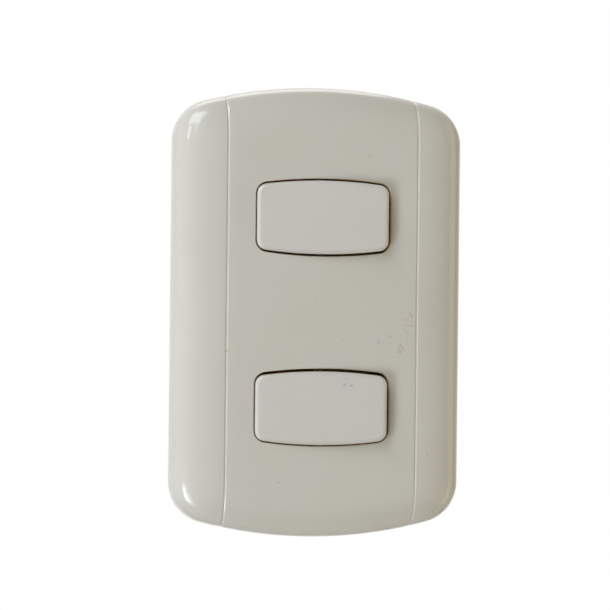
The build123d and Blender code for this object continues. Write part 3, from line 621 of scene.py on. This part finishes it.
@dataclass
class CoverPlate:
    """The moulded plate: a crowned shell with two windows and two grooves.

    The crown is a family of outlines. At share s of the way out from the flat panel to the rim
    they are wider by s times the wing, and higher by s times the end roll, and they lie at the
    rise depth * (1 - s^side_power)^(1/drop_power), which is a superellipse.

    The flat panel is meshed as a block round each window, a strip along the groove and an end
    above the block. side_rows are the heights of the rows of points beside the block, as
    stretches for steps().
    """

    height: float = 118.0
    width: float = 77.24
    depth: float = 10.0
    wall: float = 2.2
    bow_radius: float = 120.6
    corner_radius: float = 11.0
    panel_width: float = 50.92
    end_roll: float = 12.0
    panel_corner_radius: float = 2.0
    side_power: float = 1.8
    drop_power: float = 3.75
    window: Barrel = Barrel(18.0, 10.1, 120.0, 3.2)
    window_pitch: float = 49.52
    window_bevel: float = 0.25
    groove_half_width: float = 0.4
    groove_depth: float = 0.16
    shoulder_reach: float = 2.8
    shoulder_depth: float = 0.055
    inner_share: float = 0.05
    normal_share: float = 0.1
    outwards_rise: float = 40.0
    block_half_width: float = 22.5
    block_top: float = 42.0
    strip_outside: float = 26.0
    inner_top_x: float = 20.0
    side_rows: tuple[tuple[float, float, int], ...] = (
        (0, 10, 6), (10, 16, 16), (16, 33.5, 14), (33.5, 39.5, 16), (39.5, 42, 4))
    strip_steps: int = 12
    block_steps: int = 20
    block_shares: tuple[float, ...] = (0.0, 0.3, 0.6, 0.8, 0.93, 1.0)
    corner_steps: int = 36
    crown_steps: int = 46
    inner_steps: int = 24
    inner_top_points: int = 45
    foot_points: int = 12
    bevel_steps: int = 4
    ring_points: int = 200
    end_crowding: float = 1.8
    halvings: int = 30
    least_share: float = 1e-6
    sharp_angle: float = 32.0

    def outline(self, share: Number, inset: float = 0.0) -> Barrel:
        """The outline of the crown at a share of the way out, moved in for the inner wall."""
        wing = (self.width - self.panel_width) / 2
        corner = self.panel_corner_radius + (self.corner_radius - self.panel_corner_radius) * share
        return Barrel(self.panel_width / 2 + wing * share - inset,
                      self.height / 2 - self.end_roll * (1 - share) - inset,
                      self.bow_radius, corner - inset * share)

    def rise(self, share: Number) -> Array:
        """Rise of the crown at a share of the way out."""
        left = np.clip(1 - np.asarray(share, float)**self.side_power, 0, 1)
        return self.depth * left**(1 / self.drop_power)

    def share_of_angle(self, angle: Array) -> Array:
        """Share of the way out at an angle on the superellipse, from 0 to a right angle."""
        return np.sin(angle)**(2 / self.side_power)

    def share_at(self, x: Array, z: Array) -> Array:
        """Share of the outline that passes through points, 0 on the flat panel.

        It is found by halving: a point outside the outline of a share has a larger share.

        Args:
            x: Distances from the middle, 0 or more.
            z: Heights, 0 or more.

        Returns:
            The shares, in the shape of x and z.
        """
        x, z = np.broadcast_arrays(x, z)
        low, high = np.zeros(x.shape), np.ones(x.shape)
        for _ in range(self.halvings):
            middle = (low + high) / 2
            outline = self.outline(middle)
            top = outline.top(np.minimum(x, outline.half_width))
            outside = (x > outline.half_width) | (z > top)
            low, high = np.where(outside, middle, low), np.where(outside, high, middle)
        return np.where(low > self.least_share, low, 0.0)

    def groove(self, x: Number) -> Array:
        """How deep the groove and its soft shoulders lie below the crown.

        A V of the groove's depth, and round it a dip that falls off as the square of the
        distance.

        Args:
            x: Distances from the middle.

        Returns:
            The depths, in the shape of x.
        """
        off = np.abs(x - self.panel_width / 2)
        cut = self.groove_depth * np.clip(1 - off / self.groove_half_width, 0, 1)
        return cut + self.shoulder_depth * np.clip(1 - off / self.shoulder_reach, 0, 1)**2

    def front(self, x: Array, z: Array) -> Array:
        """Points of the front face above places in the plane of the wall."""
        return in_space(x, self.rise(self.share_at(x, z)) - self.groove(x), z)

    def crown(self, share: Array, x: Array, z: Array) -> Array:
        """Points of the crown, lowered by the groove.

        Next to the flat panel they sink straight to the wall, as the panel's own points do, and
        further out along the crown's normal. The normal is the cross product of the steps from
        row to row and from column to column, turned outwards.

        Args:
            share: Share of the way out of each row, as a column.
            x: Distances from the middle, one row for each share.
            z: Heights, in the shape of x.

        Returns:
            The points, of shape (rows, columns, 3).
        """
        points = in_space(x, self.rise(share), z)
        normal = np.cross(np.gradient(points, axis=0), np.gradient(points, axis=1))
        outwards = in_space(x, self.outwards_rise, z)
        normal *= np.sign(np.sum(normal * outwards, axis=-1, keepdims=True))
        normal /= np.linalg.norm(normal, axis=-1, keepdims=True)
        lean = np.clip((share - self.inner_share) / self.normal_share, 0, 1)[..., None]
        way = normal * lean + np.array([0.0, -1.0, 0.0]) * (1 - lean)
        way /= np.linalg.norm(way, axis=-1, keepdims=True)
        return points - way * self.groove(x)[..., None]

    def window_ring(self, x: Array, z: Array, outset: float) -> tuple[Array, Array]:
        """Points on the upper window's outline that lie towards points around it.

        Each point goes to where the straight line to the window's centre meets the outline,
        found by reading the outline's radius at the line's angle.

        Args:
            x: Distances from the middle of points outside the window, 0 or more.
            z: Their heights.
            outset: How far the outline is moved out.

        Returns:
            The x and z of the points on the outline.
        """
        centre = self.window_pitch / 2
        shape = self.window.inset(-outset)
        side = np.linspace(0, 1, self.ring_points)
        top_x = np.linspace(shape.half_width / 2, 0, self.ring_points)
        ring_x, ring_z = shape.quarter(side, side[1:], top_x)
        angle, radius = np.arctan2(ring_z[0], ring_x[0]), np.hypot(ring_x[0], ring_z[0])
        toward = np.arctan2(z - centre, x)
        reach = np.interp(np.abs(toward), angle, radius)
        return reach * np.cos(toward), centre + reach * np.sin(toward)

    def build(self) -> bpy.types.Object:
        """Makes the shell from grids of its upper right quadrant, mirrored three times."""
        mesh = Mesh()
        side = steps(*self.side_rows)
        corner = np.linspace(0, 1, self.corner_steps + 1)[1:]
        end = 1 - (1 - corner)**self.end_crowding
        groove_out = self.panel_width / 2 + self.groove_half_width
        groove_in = self.panel_width / 2 - self.groove_half_width
        strip = steps((self.strip_outside, groove_out, 2),
                      (groove_out, groove_in, self.strip_steps),
                      (groove_in, self.block_half_width, self.strip_steps))
        middle = np.linspace(self.block_half_width, 0, self.block_steps + 1)
        top_x = np.hstack([strip, middle[1:]])

        # The flat panel's end, its strip along the groove and the sliver outside it
        edge = self.outline(self.inner_share)
        end_z = self.block_top + end[:, None] * (edge.top(top_x) - self.block_top)
        end_rows = np.vstack([np.full_like(top_x, self.block_top), end_z])
        mesh.add_quadrants(self.front(top_x, end_rows))
        mesh.add_quadrants(self.front(strip, side[:, None]))
        up = side / self.block_top
        out_x, out_z = edge.quarter(up, corner, top_x)
        column = len(side) + len(end)
        line_z = np.hstack([side, end_z[:, 0]])
        sliver_x = np.stack([np.full(column, self.strip_outside), out_x[0, :column]])
        sliver_z = np.stack([line_z, out_z[0, :column]])
        mesh.add_quadrants(self.front(sliver_x, sliver_z))

        # The crown, from the panel's edge to the rim
        first_angle = np.arcsin(self.inner_share**(self.side_power / 2))
        angles = np.linspace(first_angle, np.pi / 2, self.crown_steps + 1)
        share = self.share_of_angle(angles)[:, None]
        crown = self.crown(share, *self.outline(share).quarter(up, corner, top_x))
        mesh.add_quadrants(crown)

        # The block round the window, the window's bevel and its wall
        block_x = np.hstack([middle[::-1], np.full(len(side) - 1, middle[0]), middle[1:]])
        block_z = np.hstack([0 * middle, side[1:], np.full(len(middle) - 1, self.block_top)])
        mouth = self.window_ring(block_x, block_z, self.window_bevel)
        wall = self.window_ring(block_x, block_z, 0.0)
        x, z = between(np.array(self.block_shares)[:, None], (block_x, block_z), mouth)
        mesh.add_quadrants(in_space(x, self.depth, z))
        turn = np.linspace(0, np.pi / 2, self.bevel_steps + 1)[:, None]
        x, z = between(1 - np.sin(turn), wall, mouth)
        mesh.add_quadrants(in_space(x, self.depth - self.window_bevel * (1 - np.cos(turn)), z))
        inside = self.depth - self.wall
        rises = np.array([self.depth - self.window_bevel, inside])[:, None]
        mesh.add_quadrants(in_space(wall[0], rises, wall[1]))

        # The inside of the crown, the rim's underside and the panel's back
        back = np.linspace(np.pi / 2, 0, self.inner_steps + 1)
        share = self.share_of_angle(back)[:, None]
        inner_x, inner_z = self.outline(share, self.wall).quarter(
            up, corner, np.linspace(self.inner_top_x, 0, self.inner_top_points))
        mesh.add_quadrants(in_space(inner_x, self.rise(share) * inside / self.depth, inner_z))
        under_x, under_z = self.outline(1.0, self.wall).quarter(up, corner, top_x)
        mesh.add_quadrants(np.stack([crown[-1], in_space(under_x, 0.0, under_z)[0]]))
        foot = np.linspace(0, inner_x[-1, 0], self.foot_points)
        ring_x = np.hstack([foot[:-1], inner_x[-1]])
        ring_z = np.hstack([0 * foot[:-1], inner_z[-1]])
        hole = self.window_ring(ring_x, ring_z, 0.0)
        x, z = between(np.array([[0.0], [1.0]]), (ring_x, ring_z), hole)
        mesh.add_quadrants(in_space(x, inside, z))
        return mesh.build("cover_plate_shell", self.sharp_angle)


@dataclass
class PlateFittings:
    """What is moulded on the back of the plate: snap legs, gussets and window collars."""

    inside: float = 8.0
    leg_x: float = 27.0
    leg_pitch: float = 28.0
    leg_thickness: float = 1.6
    leg_half_width: float = 3.8
    hook: float = 0.8
    hook_rise: float = 1.0
    foot: float = 0.3
    gusset_x: tuple[float, float] = (34.2, 38.0)
    gusset_pitch: float = 38.0
    gusset_top: float = 4.7
    gusset_toe: float = 1.0
    gusset_crest: float = 1.2
    gusset_half_thickness: float = 0.6
    collar_x: tuple[float, float] = (18.02, 19.2)
    collar_half_width: float = 5.5
    collar_foot: float = 6.2
    window_pitch: float = 49.52
    edge_radius: float = 0.15
    sharp_angle: float = 32.0

    def build(self) -> bpy.types.Object:
        """Makes the legs, gussets and collars as prisms, with rounded edges."""
        mesh = Mesh()
        inner = self.leg_x - self.leg_thickness / 2
        outer = self.leg_x + self.leg_thickness / 2
        leg = np.array([(inner, self.inside), (inner, self.foot), (outer, self.foot),
                        (outer + self.hook, self.foot + self.hook_rise / 2),
                        (outer + self.hook, self.foot + self.hook_rise),
                        (outer, self.foot + self.hook_rise), (outer, self.inside)])
        low, high = self.gusset_x
        gusset = np.array([(high, self.foot), (low, self.foot), (low, self.foot + self.gusset_toe),
                           (high - self.gusset_crest, self.gusset_top), (high, self.gusset_top)])
        near, far = self.collar_x
        collar = np.array([(near, self.inside), (near, self.collar_foot),
                           (far, self.collar_foot), (far, self.inside)])
        for side in (1, -1):
            mirrored = np.array([side, 1])
            for up in (1, -1):
                mesh.add_prism(leg * mirrored, up * self.leg_pitch / 2, self.leg_half_width)
                mesh.add_prism(collar * mirrored, up * self.window_pitch / 2,
                               self.collar_half_width)
            for up in (1, 0, -1):
                mesh.add_prism(gusset * mirrored, up * self.gusset_pitch,
                               self.gusset_half_thickness)
        piece = mesh.build("plate_snap_legs", self.sharp_angle)
        round_edges(piece, self.edge_radius)
        return piece


@dataclass
class Key:
    """One rocker cap: bowed outline, rounded face edge, hollow back, tilted on its pivot."""

    side: str
    centre: float
    shape: Barrel = Barrel(17.5, 9.6, 120.0, 2.7)
    face: float = 11.5
    face_wall: float = 1.5
    skirt_wall: float = 1.3
    skirt_back: float = 6.62
    edge_radius: float = 1.2
    pivot: float = 5.8
    tilt: float = 3.5
    notch_radius: float = 1.45
    rib: tuple[float, float, float] = (14.6, 4.7, 8.25)
    rib_thickness: float = 1.0
    leg: tuple[float, float, float] = (10.4, 11.6, 5.7)
    leg_half_width: float = 3.0
    hook: tuple[float, float] = (12.1, 6.35)
    hook_drop: float = 0.2
    root: float = 0.2
    foot_edge: float = 0.15
    edge_steps: int = 10
    face_shares: tuple[float, ...] = (0.0, 0.35, 0.7, 0.9)
    sharp_angle: float = 40.0

    def build(self) -> bpy.types.Object:
        """Makes the cap as one profile carried round the outline.

        The profile runs from the middle of the face out to the rounded edge, down the skirt,
        round its foot and back up inside to the middle of the hollow. Each of its points is an
        inset of the outline and a rise; on the face and under it, the outline is scaled down to
        the middle.
        """
        turn = np.linspace(0, np.pi / 2, self.edge_steps + 1)
        edge_inset = self.edge_radius * (1 - np.sin(turn))
        edge_rise = self.face - self.edge_radius * (1 - np.cos(turn))
        ceiling = self.face - self.face_wall
        foot = self.foot_edge
        inset = np.hstack([edge_inset, 0.0, foot, self.skirt_wall - foot, self.skirt_wall,
                           self.skirt_wall])
        rise = np.hstack([edge_rise, self.skirt_back + foot, self.skirt_back, self.skirt_back,
                          self.skirt_back + foot, ceiling])
        x, z = self.shape.inset(inset[:, None]).loop(side_steps=10, corner_steps=12, top_steps=24)
        shrink = np.array(self.face_shares)[:, None]
        x = np.vstack([x[0] * shrink, x, x[-1] * shrink[::-1]])
        z = np.vstack([z[0] * shrink, z, z[-1] * shrink[::-1]])
        rise = np.hstack([np.full(len(shrink), self.face), rise,
                          np.full(len(shrink), ceiling)])[:, None]
        arch = self.pivot + np.sqrt(np.clip(self.notch_radius**2 - x**2, 0, None))
        in_foot = (rise < self.face - self.edge_radius) & (np.abs(x) < self.notch_radius)
        rise = np.where(in_foot, np.maximum(rise, arch), rise)
        mesh = Mesh()
        mesh.add_grid(in_space(x, rise, z))
        self.add_inside(mesh, ceiling + self.root)
        return mesh.build(f"{self.side}_key_cap", self.sharp_angle, self.place())

    def add_inside(self, mesh: Mesh, root: float) -> None:
        """Adds the ribs and the snap legs, which grow out of the face wall.

        Args:
            mesh: The cap's mesh.
            root: Rise at which they begin, inside the face wall.
        """
        half_length, rib_z, rib_rise = self.rib
        rib = np.array([(-half_length, root), (-half_length, rib_rise),
                        (half_length, rib_rise), (half_length, root)])
        inner, outer, tip = self.leg
        hook_x, hook_rise = self.hook
        leg = np.array([(inner, root), (inner, tip), (outer, tip),
                        (hook_x, hook_rise - self.hook_drop), (hook_x, hook_rise),
                        (outer, hook_rise), (outer, root)])
        for side in (1, -1):
            mesh.add_prism(rib, side * rib_z, self.rib_thickness / 2)
            mesh.add_prism(leg * np.array([side, 1]), 0.0, self.leg_half_width)

    def place(self) -> Matrix:
        """Tilts the level cap about its pivot and moves it to its module."""
        pivot = Vector((0, -self.pivot, 0))
        tilt = Matrix.Rotation(math.radians(-self.tilt), 4, "Z")
        back = Matrix.Translation(pivot + Vector((0, 0, self.centre)))
        return back @ tilt @ Matrix.Translation(-pivot)


def round_edges(piece: bpy.types.Object, radius: float) -> None:
    """Rounds a piece's sharp edges by a radius in millimetres."""
    bevel = piece.modifiers.new("edges", "BEVEL")
    bevel.width = radius * METRES
    bevel.segments = 2
    bevel.limit_method = "ANGLE"
    bevel.angle_limit = math.radians(BEVEL_ANGLE)
    bevel.use_clamp_overlap = True
    bevel.harden_normals = True


def refined(node: str, name: str, edge: float) -> bpy.types.Object:
    """A merged copy of a CAD node, its flat faces joined and its edges broken.

    Args:
        node: The CAD node.
        name: The new piece's name.
        edge: Radius of the broken edges in millimetres, 0 for none.

    Returns:
        The new piece.
    """
    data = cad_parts[node].data.copy()
    piece = bpy.data.objects.new(name, data)
    bpy.context.scene.collection.objects.link(piece)
    stitch(data, 30.0)
    if edge:
        work = bmesh.new()
        work.from_mesh(data)
        bmesh.ops.dissolve_limit(work, angle_limit=math.radians(FLAT_ANGLE), verts=work.verts,
                                 edges=work.edges)
        work.to_mesh(data)
        work.free()
        round_edges(piece, edge)
    return piece


@dataclass
class Module:
    """One switch module behind its key, made from refined copies of its CAD nodes."""

    side: str
    materials: dict[str, bpy.types.Material]

    def dress(self) -> None:
        """Gives every piece of the module its edges and its finish."""
        plan = (
            ("rocker", "rocker", "key_rocker", 0.12),
            ("plunger", "rocker", "key_rocker", 0.0),
            ("spring", "spring", "key_rocker", 0.0),
            ("module_front", "module", "base", 0.12),
            ("housing", "module", "base", 0.15),
            ("contact_blade", "blade", "see_saw", 0.05),
            ("moving_contact", "contact", "see_saw", 0.0),
            ("common_terminal", "terminal", "base", 0.1),
            ("line_terminal", "terminal", "base", 0.1),
            ("fixed_contact", "contact", "base", 0.0),
            ("terminal_screws", "clamp_screw", "base", 0.06),
        )
        for part, slot, body, edge in plan:
            node = f"{self.side}_{part}"
            carrier = body if body == "base" else f"{self.side}_{body}"
            piece = refined(node, f"{node}_finished", edge)
            dress(piece, self.materials[slot], carrier, slot, [node])


# Studio

DAYLIGHT: Colour = (0.95, 0.99, 1.05)
YELLOWED: Colour = (1.0, 0.89, 0.66)
PALE: Colour = (1.0, 0.99, 0.97)
BLACK: Colour = (0.0, 0.0, 0.0)
WHITE: Colour = (1.0, 1.0, 1.0)


@dataclass(frozen=True)
class SoftBox:
    """A soft lamp that faces the switch."""

    name: str
    place: tuple[float, float, float]
    size: tuple[float, float]
    power: float
    colour: Colour
    aim: tuple[float, float, float] = (0.0, -0.01, 0.0)

    def build(self) -> None:
        """Makes the lamp, its place in metres, aimed at the plate."""
        lamp = bpy.data.lights.new(self.name, "AREA")
        lamp.shape = "RECTANGLE"
        lamp.size, lamp.size_y = self.size
        lamp.energy = self.power
        lamp.color = self.colour
        obj = bpy.data.objects.new(self.name, lamp)
        obj.location = self.place
        toward = Vector(self.aim) - Vector(self.place)
        obj.rotation_euler = toward.to_track_quat("-Z", "Y").to_euler()
        bpy.context.scene.collection.objects.link(obj)


@dataclass(frozen=True)
class Camera:
    """The camera, as fitted to the photograph.

    It stands at a distance from the middle of the plate's face, turned to the left by yaw and
    up by pitch, looks at a point of that face and is rolled a little.
    """

    distance: float = 867.7
    yaw: float = -13.24
    pitch: float = 0.116
    roll: float = 0.638
    face: float = 10.0
    target: tuple[float, float] = (-4.73, 1.92)
    focal_pixels: float = 3326.8
    picture_pixels: float = 610.0
    sensor: float = 36.0

    def build(self) -> None:
        """Makes the camera and sets it as the scene's."""
        yaw, pitch = math.radians(self.yaw), math.radians(self.pitch)
        back = Vector((math.sin(yaw) * math.cos(pitch), -math.cos(yaw) * math.cos(pitch),
                       math.sin(pitch)))
        place = back * self.distance + Vector((0, -self.face, 0))
        aim = Vector((self.target[0], -self.face, self.target[1]))
        look = (aim - place).to_track_quat("-Z", "Y").to_matrix().to_4x4()
        lens = bpy.data.cameras.new("camera")
        lens.sensor_width = self.sensor
        lens.lens = self.focal_pixels / self.picture_pixels * self.sensor
        obj = bpy.data.objects.new("camera", lens)
        obj.matrix_world = (Matrix.Translation(place * METRES) @ look
                            @ Matrix.Rotation(math.radians(self.roll), 4, "Z"))
        bpy.context.scene.collection.objects.link(obj)
        bpy.context.scene.camera = obj


@dataclass(frozen=True)
class Studio:
    """Floor, surroundings and lamps."""

    front_sky: Colour = (0.02, 0.02, 0.02)
    back_sky: Colour = (0.25, 0.24, 0.22)
    floor_depth: float = 0.95
    floor_half: float = 1.2
    floor_dish: float = 0.02
    floor_steps: int = 40
    horizon: float = 0.1
    lamps: tuple[SoftBox, ...] = (
        SoftBox("left_upper_pane", (-0.772, -0.551, 0.334), (0.079, 0.335), 1.3, DAYLIGHT),
        SoftBox("left_upper_near_pane", (-0.528, -0.737, 0.438), (0.105, 0.425), 0.661, DAYLIGHT),
        SoftBox("left_lower_pane", (-0.778, -0.459, -0.438), (0.079, 0.371), 1.44, DAYLIGHT),
        SoftBox("left_lower_near_pane", (-0.582, -0.572, -0.588), (0.105, 0.389), 0.806, DAYLIGHT),
        SoftBox("left_high_box", (-0.534, -0.413, 0.743), (0.573, 0.462), 5.9, DAYLIGHT),
        SoftBox("left_low_box", (-0.739, -0.508, -0.454), (0.246, 0.611), 4.33, DAYLIGHT),
        SoftBox("right_fill", (0.766, -0.653, 0.0), (0.933, 1.4), 2.15, YELLOWED),
        SoftBox("right_side_fill", (0.985, -0.184, 0.0), (0.425, 1.4), 3.93, YELLOWED),
        SoftBox("back_fill", (0.0, 0.52, 0.848), (0.728, 0.536), 3.22, PALE),
    )

    def build(self) -> None:
        """Makes the world, the floor and the lamps."""
        scene = bpy.context.scene
        scene.view_settings.view_transform = "Standard"
        world = bpy.data.worlds.new("surroundings")
        world.use_nodes = True
        scene.world = world
        graph = Graph(world.node_tree)
        seen = graph.ray("Camera")
        for kind in ("Glossy", "Transmission"):
            seen = seen.math("MAXIMUM", graph.ray(kind))
        way = graph.node("ShaderNodeTexCoord", {}, {}).outputs["Generated"]
        behind = graph.axes(way)[1].fade(start=-self.horizon, end=self.horizon)
        dim = graph.mix(behind, self.front_sky, self.back_sky)
        sky = graph.node("ShaderNodeBackground", {},
                         {"Color": graph.mix(seen, dim, WHITE), "Strength": 1.0})
        graph.node("ShaderNodeOutputWorld", {}, {0: sky.outputs[0]})
        self.lay_floor()
        for lamp in self.lamps:
            lamp.build()

    def lay_floor(self) -> None:
        """Makes the pale floor, a shallow dish whose rise grows with the square of distance."""
        line = np.linspace(-self.floor_half, self.floor_half, self.floor_steps + 1)
        x, y = np.meshgrid(line, line)
        out = (x / self.floor_half)**2 + (y / self.floor_half)**2
        z = -self.floor_depth + self.floor_dish * out
        mesh = Mesh()
        mesh.add_grid(np.stack([x, y, z], axis=-1) / METRES)
        floor = mesh.build("floor", 30.0)
        floor.data.materials.append(PaleFloor("pale_floor", (0.82, 0.82, 0.81), 0.8).build())


@dataclass(frozen=True)
class PaleFloor(Finish):
    """A plain pale floor with faint clouds, kept pale for the camera far from the lamps."""

    glow: Colour = (0.55, 0.55, 0.54)
    clouded: float = 0.97

    def wire(self, graph: Graph) -> None:
        """Faint clouds in the colour, and a glow that camera rays alone see."""
        clouds = graph.noise(graph.place(), grain=300.0)
        darker = tuple(self.clouded * c for c in self.colour)
        graph.surface(Base_Color=graph.mix(clouds, self.colour, darker), Roughness=self.roughness,
                      Emission_Color=graph.mix(graph.ray("Camera"), BLACK, self.glow),
                      Emission_Strength=1.0)


# Stains and materials

INK: Colour = (0.05, 0.07, 0.35)
GREY_BLUE: Colour = (0.25, 0.27, 0.34)
BROWN: Colour = (0.40, 0.32, 0.19)
YELLOW: Colour = (0.50, 0.42, 0.22)
GREY: Colour = (0.24, 0.23, 0.21)
OFF_WHITE: Colour = (0.75, 0.75, 0.74)


def marks(colour: Colour, pattern: Pattern,
          *rows: tuple[float, float, float, float, float]) -> tuple[Mark, ...]:
    """Stains of one colour and pattern.

    Args:
        colour: Their colour.
        pattern: How they break up.
        rows: The x, y, z, radius and strength of each.

    Returns:
        The stains, in the order of the rows.
    """
    return tuple(Mark(tuple(place), radius, colour, strength, pattern)
                 for *place, radius, strength in rows)


PLATE_MARKS: tuple[Mark, ...] = (
    *marks(GREY_BLUE, Pattern.FLECKS, (15.7, -10.0, -7.2, 1.5, 0.5), (17.8, -10.0, -6.2, 1.3, 0.4)),
    *marks(GREY_BLUE, Pattern.EVEN, (15.2, -10.0, -7.5, 0.35, 0.6), (5.4, -10.0, -7.0, 0.5, 0.22),
           (-1.7, -10.0, 2.9, 0.4, 0.3), (10.2, -10.0, -1.2, 0.4, 0.25)),
    *marks(BROWN, Pattern.STROKES, (22.9, -10.0, -0.8, 1.9, 0.55), (23.5, -10.0, -3.9, 1.7, 0.55),
           (22.1, -10.0, -6.6, 1.9, 0.55), (20.6, -10.0, -9.5, 1.9, 0.55)),
    *marks(BROWN, Pattern.EVEN, (22.4, -10.0, -4.7, 0.35, 0.45), (21.7, -10.0, -4.0, 0.35, 0.4),
           (21.1, -10.0, -8.2, 0.4, 0.4)),
    *marks(YELLOW, Pattern.FLECKS, (-16.5, -7.6, -53.7, 1.2, 0.5), (-20.4, -6.2, -55.5, 1.4, 0.45),
           (-17.3, -6.2, -55.5, 1.5, 0.45), (-14.1, -6.4, -55.5, 1.4, 0.45),
           (5.0, -10.0, -40.4, 1.0, 0.35), (5.9, -8.6, -52.7, 1.1, 0.4)),
    *marks(GREY, Pattern.EVEN, (12.1, -10.0, 41.2, 0.4, 0.4), (-11.3, -10.0, -44.3, 0.4, 0.4),
           (28.7, -9.6, -37.0, 0.45, 0.4)),
    *marks(OFF_WHITE, Pattern.EVEN, (33.4, -8.0, -13.8, 0.35, 0.8)),
    *marks(BROWN, Pattern.EVEN, (-25.5, -9.8, -10.1, 0.6, 0.6)),
)

KEY_MARKS: tuple[Mark, ...] = (
    *marks(INK, Pattern.EVEN, (7.5, -11.7, -19.0, 0.5, 0.8), (5.6, -11.6, -19.0, 0.5, 0.5),
           (10.5, -11.7, -17.4, 0.5, 0.4)),
    *marks(INK, Pattern.FLECKS, (6.1, -11.6, -18.2, 1.7, 0.3)),
    *marks(GREY_BLUE, Pattern.FLECKS, (14.0, -11.9, -24.4, 1.0, 0.3)),
)


def make_materials() -> dict[str, bpy.types.Material]:
    """Builds one material for each slot of the record."""
    finishes: dict[str, Finish] = {
        # The plate's brown in the window gaps is partly dirt and partly painted glow of light
        # through the plastic in the shaded gap.
        "plate": MouldedPlastic("aged_ivory", (0.565, 0.543, 0.48), 0.15, marks=PLATE_MARKS,
                                dirt_and_painted_light_rise=9.98),
        # The key's yellow-brown reaches further up its right end: partly dirt, partly painted shade
        # on its shaded right edge.
        "key": MouldedPlastic("key_ivory", (0.575, 0.553, 0.50), 0.17, marks=KEY_MARKS,
                              dirt_and_painted_light_rise=10.2, dirt_and_painted_light_lean=0.055, gap_dirt_and_painted_light=(0.52, 0.43, 0.28),
                              old_gap_dirt_and_painted_light=(0.45, 0.34, 0.19)),
        "frame": MouldedPlastic("frame_grey", (0.52, 0.51, 0.47), 0.5, skin=0.01),
        "rocker": MouldedPlastic("natural_nylon", (0.60, 0.59, 0.55), 0.45),
        "module": Thermoset("brown_thermoset", (0.24, 0.14, 0.065), 0.5),
        "screw": Metal("zinc_screw", (0.62, 0.62, 0.60), 0.35, grain=Grain.ALONG_Y),
        "spring": Metal("spring_steel", (0.55, 0.55, 0.56), 0.3),
        "blade": Metal("rolled_bronze", (0.72, 0.50, 0.30), 0.32, grain=Grain.ALONG_X),
        "contact": Metal("contact_silver", (0.80, 0.80, 0.78), 0.3),
        "terminal": Metal("drawn_brass", (0.74, 0.58, 0.28), 0.33, grain=Grain.ALONG_Y),
        "clamp_screw": Metal("zinc_clamp_screw", (0.62, 0.62, 0.58), 0.38),
    }
    return {slot: finish.build() for slot, finish in finishes.items()}


KEY_CENTRES: dict[str, float] = {"upper": 24.76 + 0.05, "lower": -24.76 - 0.2}


def main() -> None:
    """Builds the switch, the studio and the camera in order."""
    logging.basicConfig(level=logging.INFO, format="%(message)s")
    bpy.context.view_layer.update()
    materials = make_materials()
    dress(CoverPlate().build(), materials["plate"], "base", "plate", ["cover_plate"])
    dress(PlateFittings().build(), materials["plate"], "base", "plate")
    for side, centre in KEY_CENTRES.items():
        cap = Key(side, centre).build()
        dress(cap, materials["key"], f"{side}_key_rocker", "key", [f"{side}_key"])
        Module(side, materials).dress()
        screw = refined(f"{side}_mounting_screw", f"{side}_mounting_screw_finished", 0.08)
        dress(screw, materials["screw"], "base", "screw", [f"{side}_mounting_screw"])
    carrier = refined("mounting_frame", "mounting_frame_finished", 0.2)
    dress(carrier, materials["frame"], "base", "frame", ["mounting_frame"])
    Studio().build()
    Camera().build()


if __name__ == "__main__":
    main()
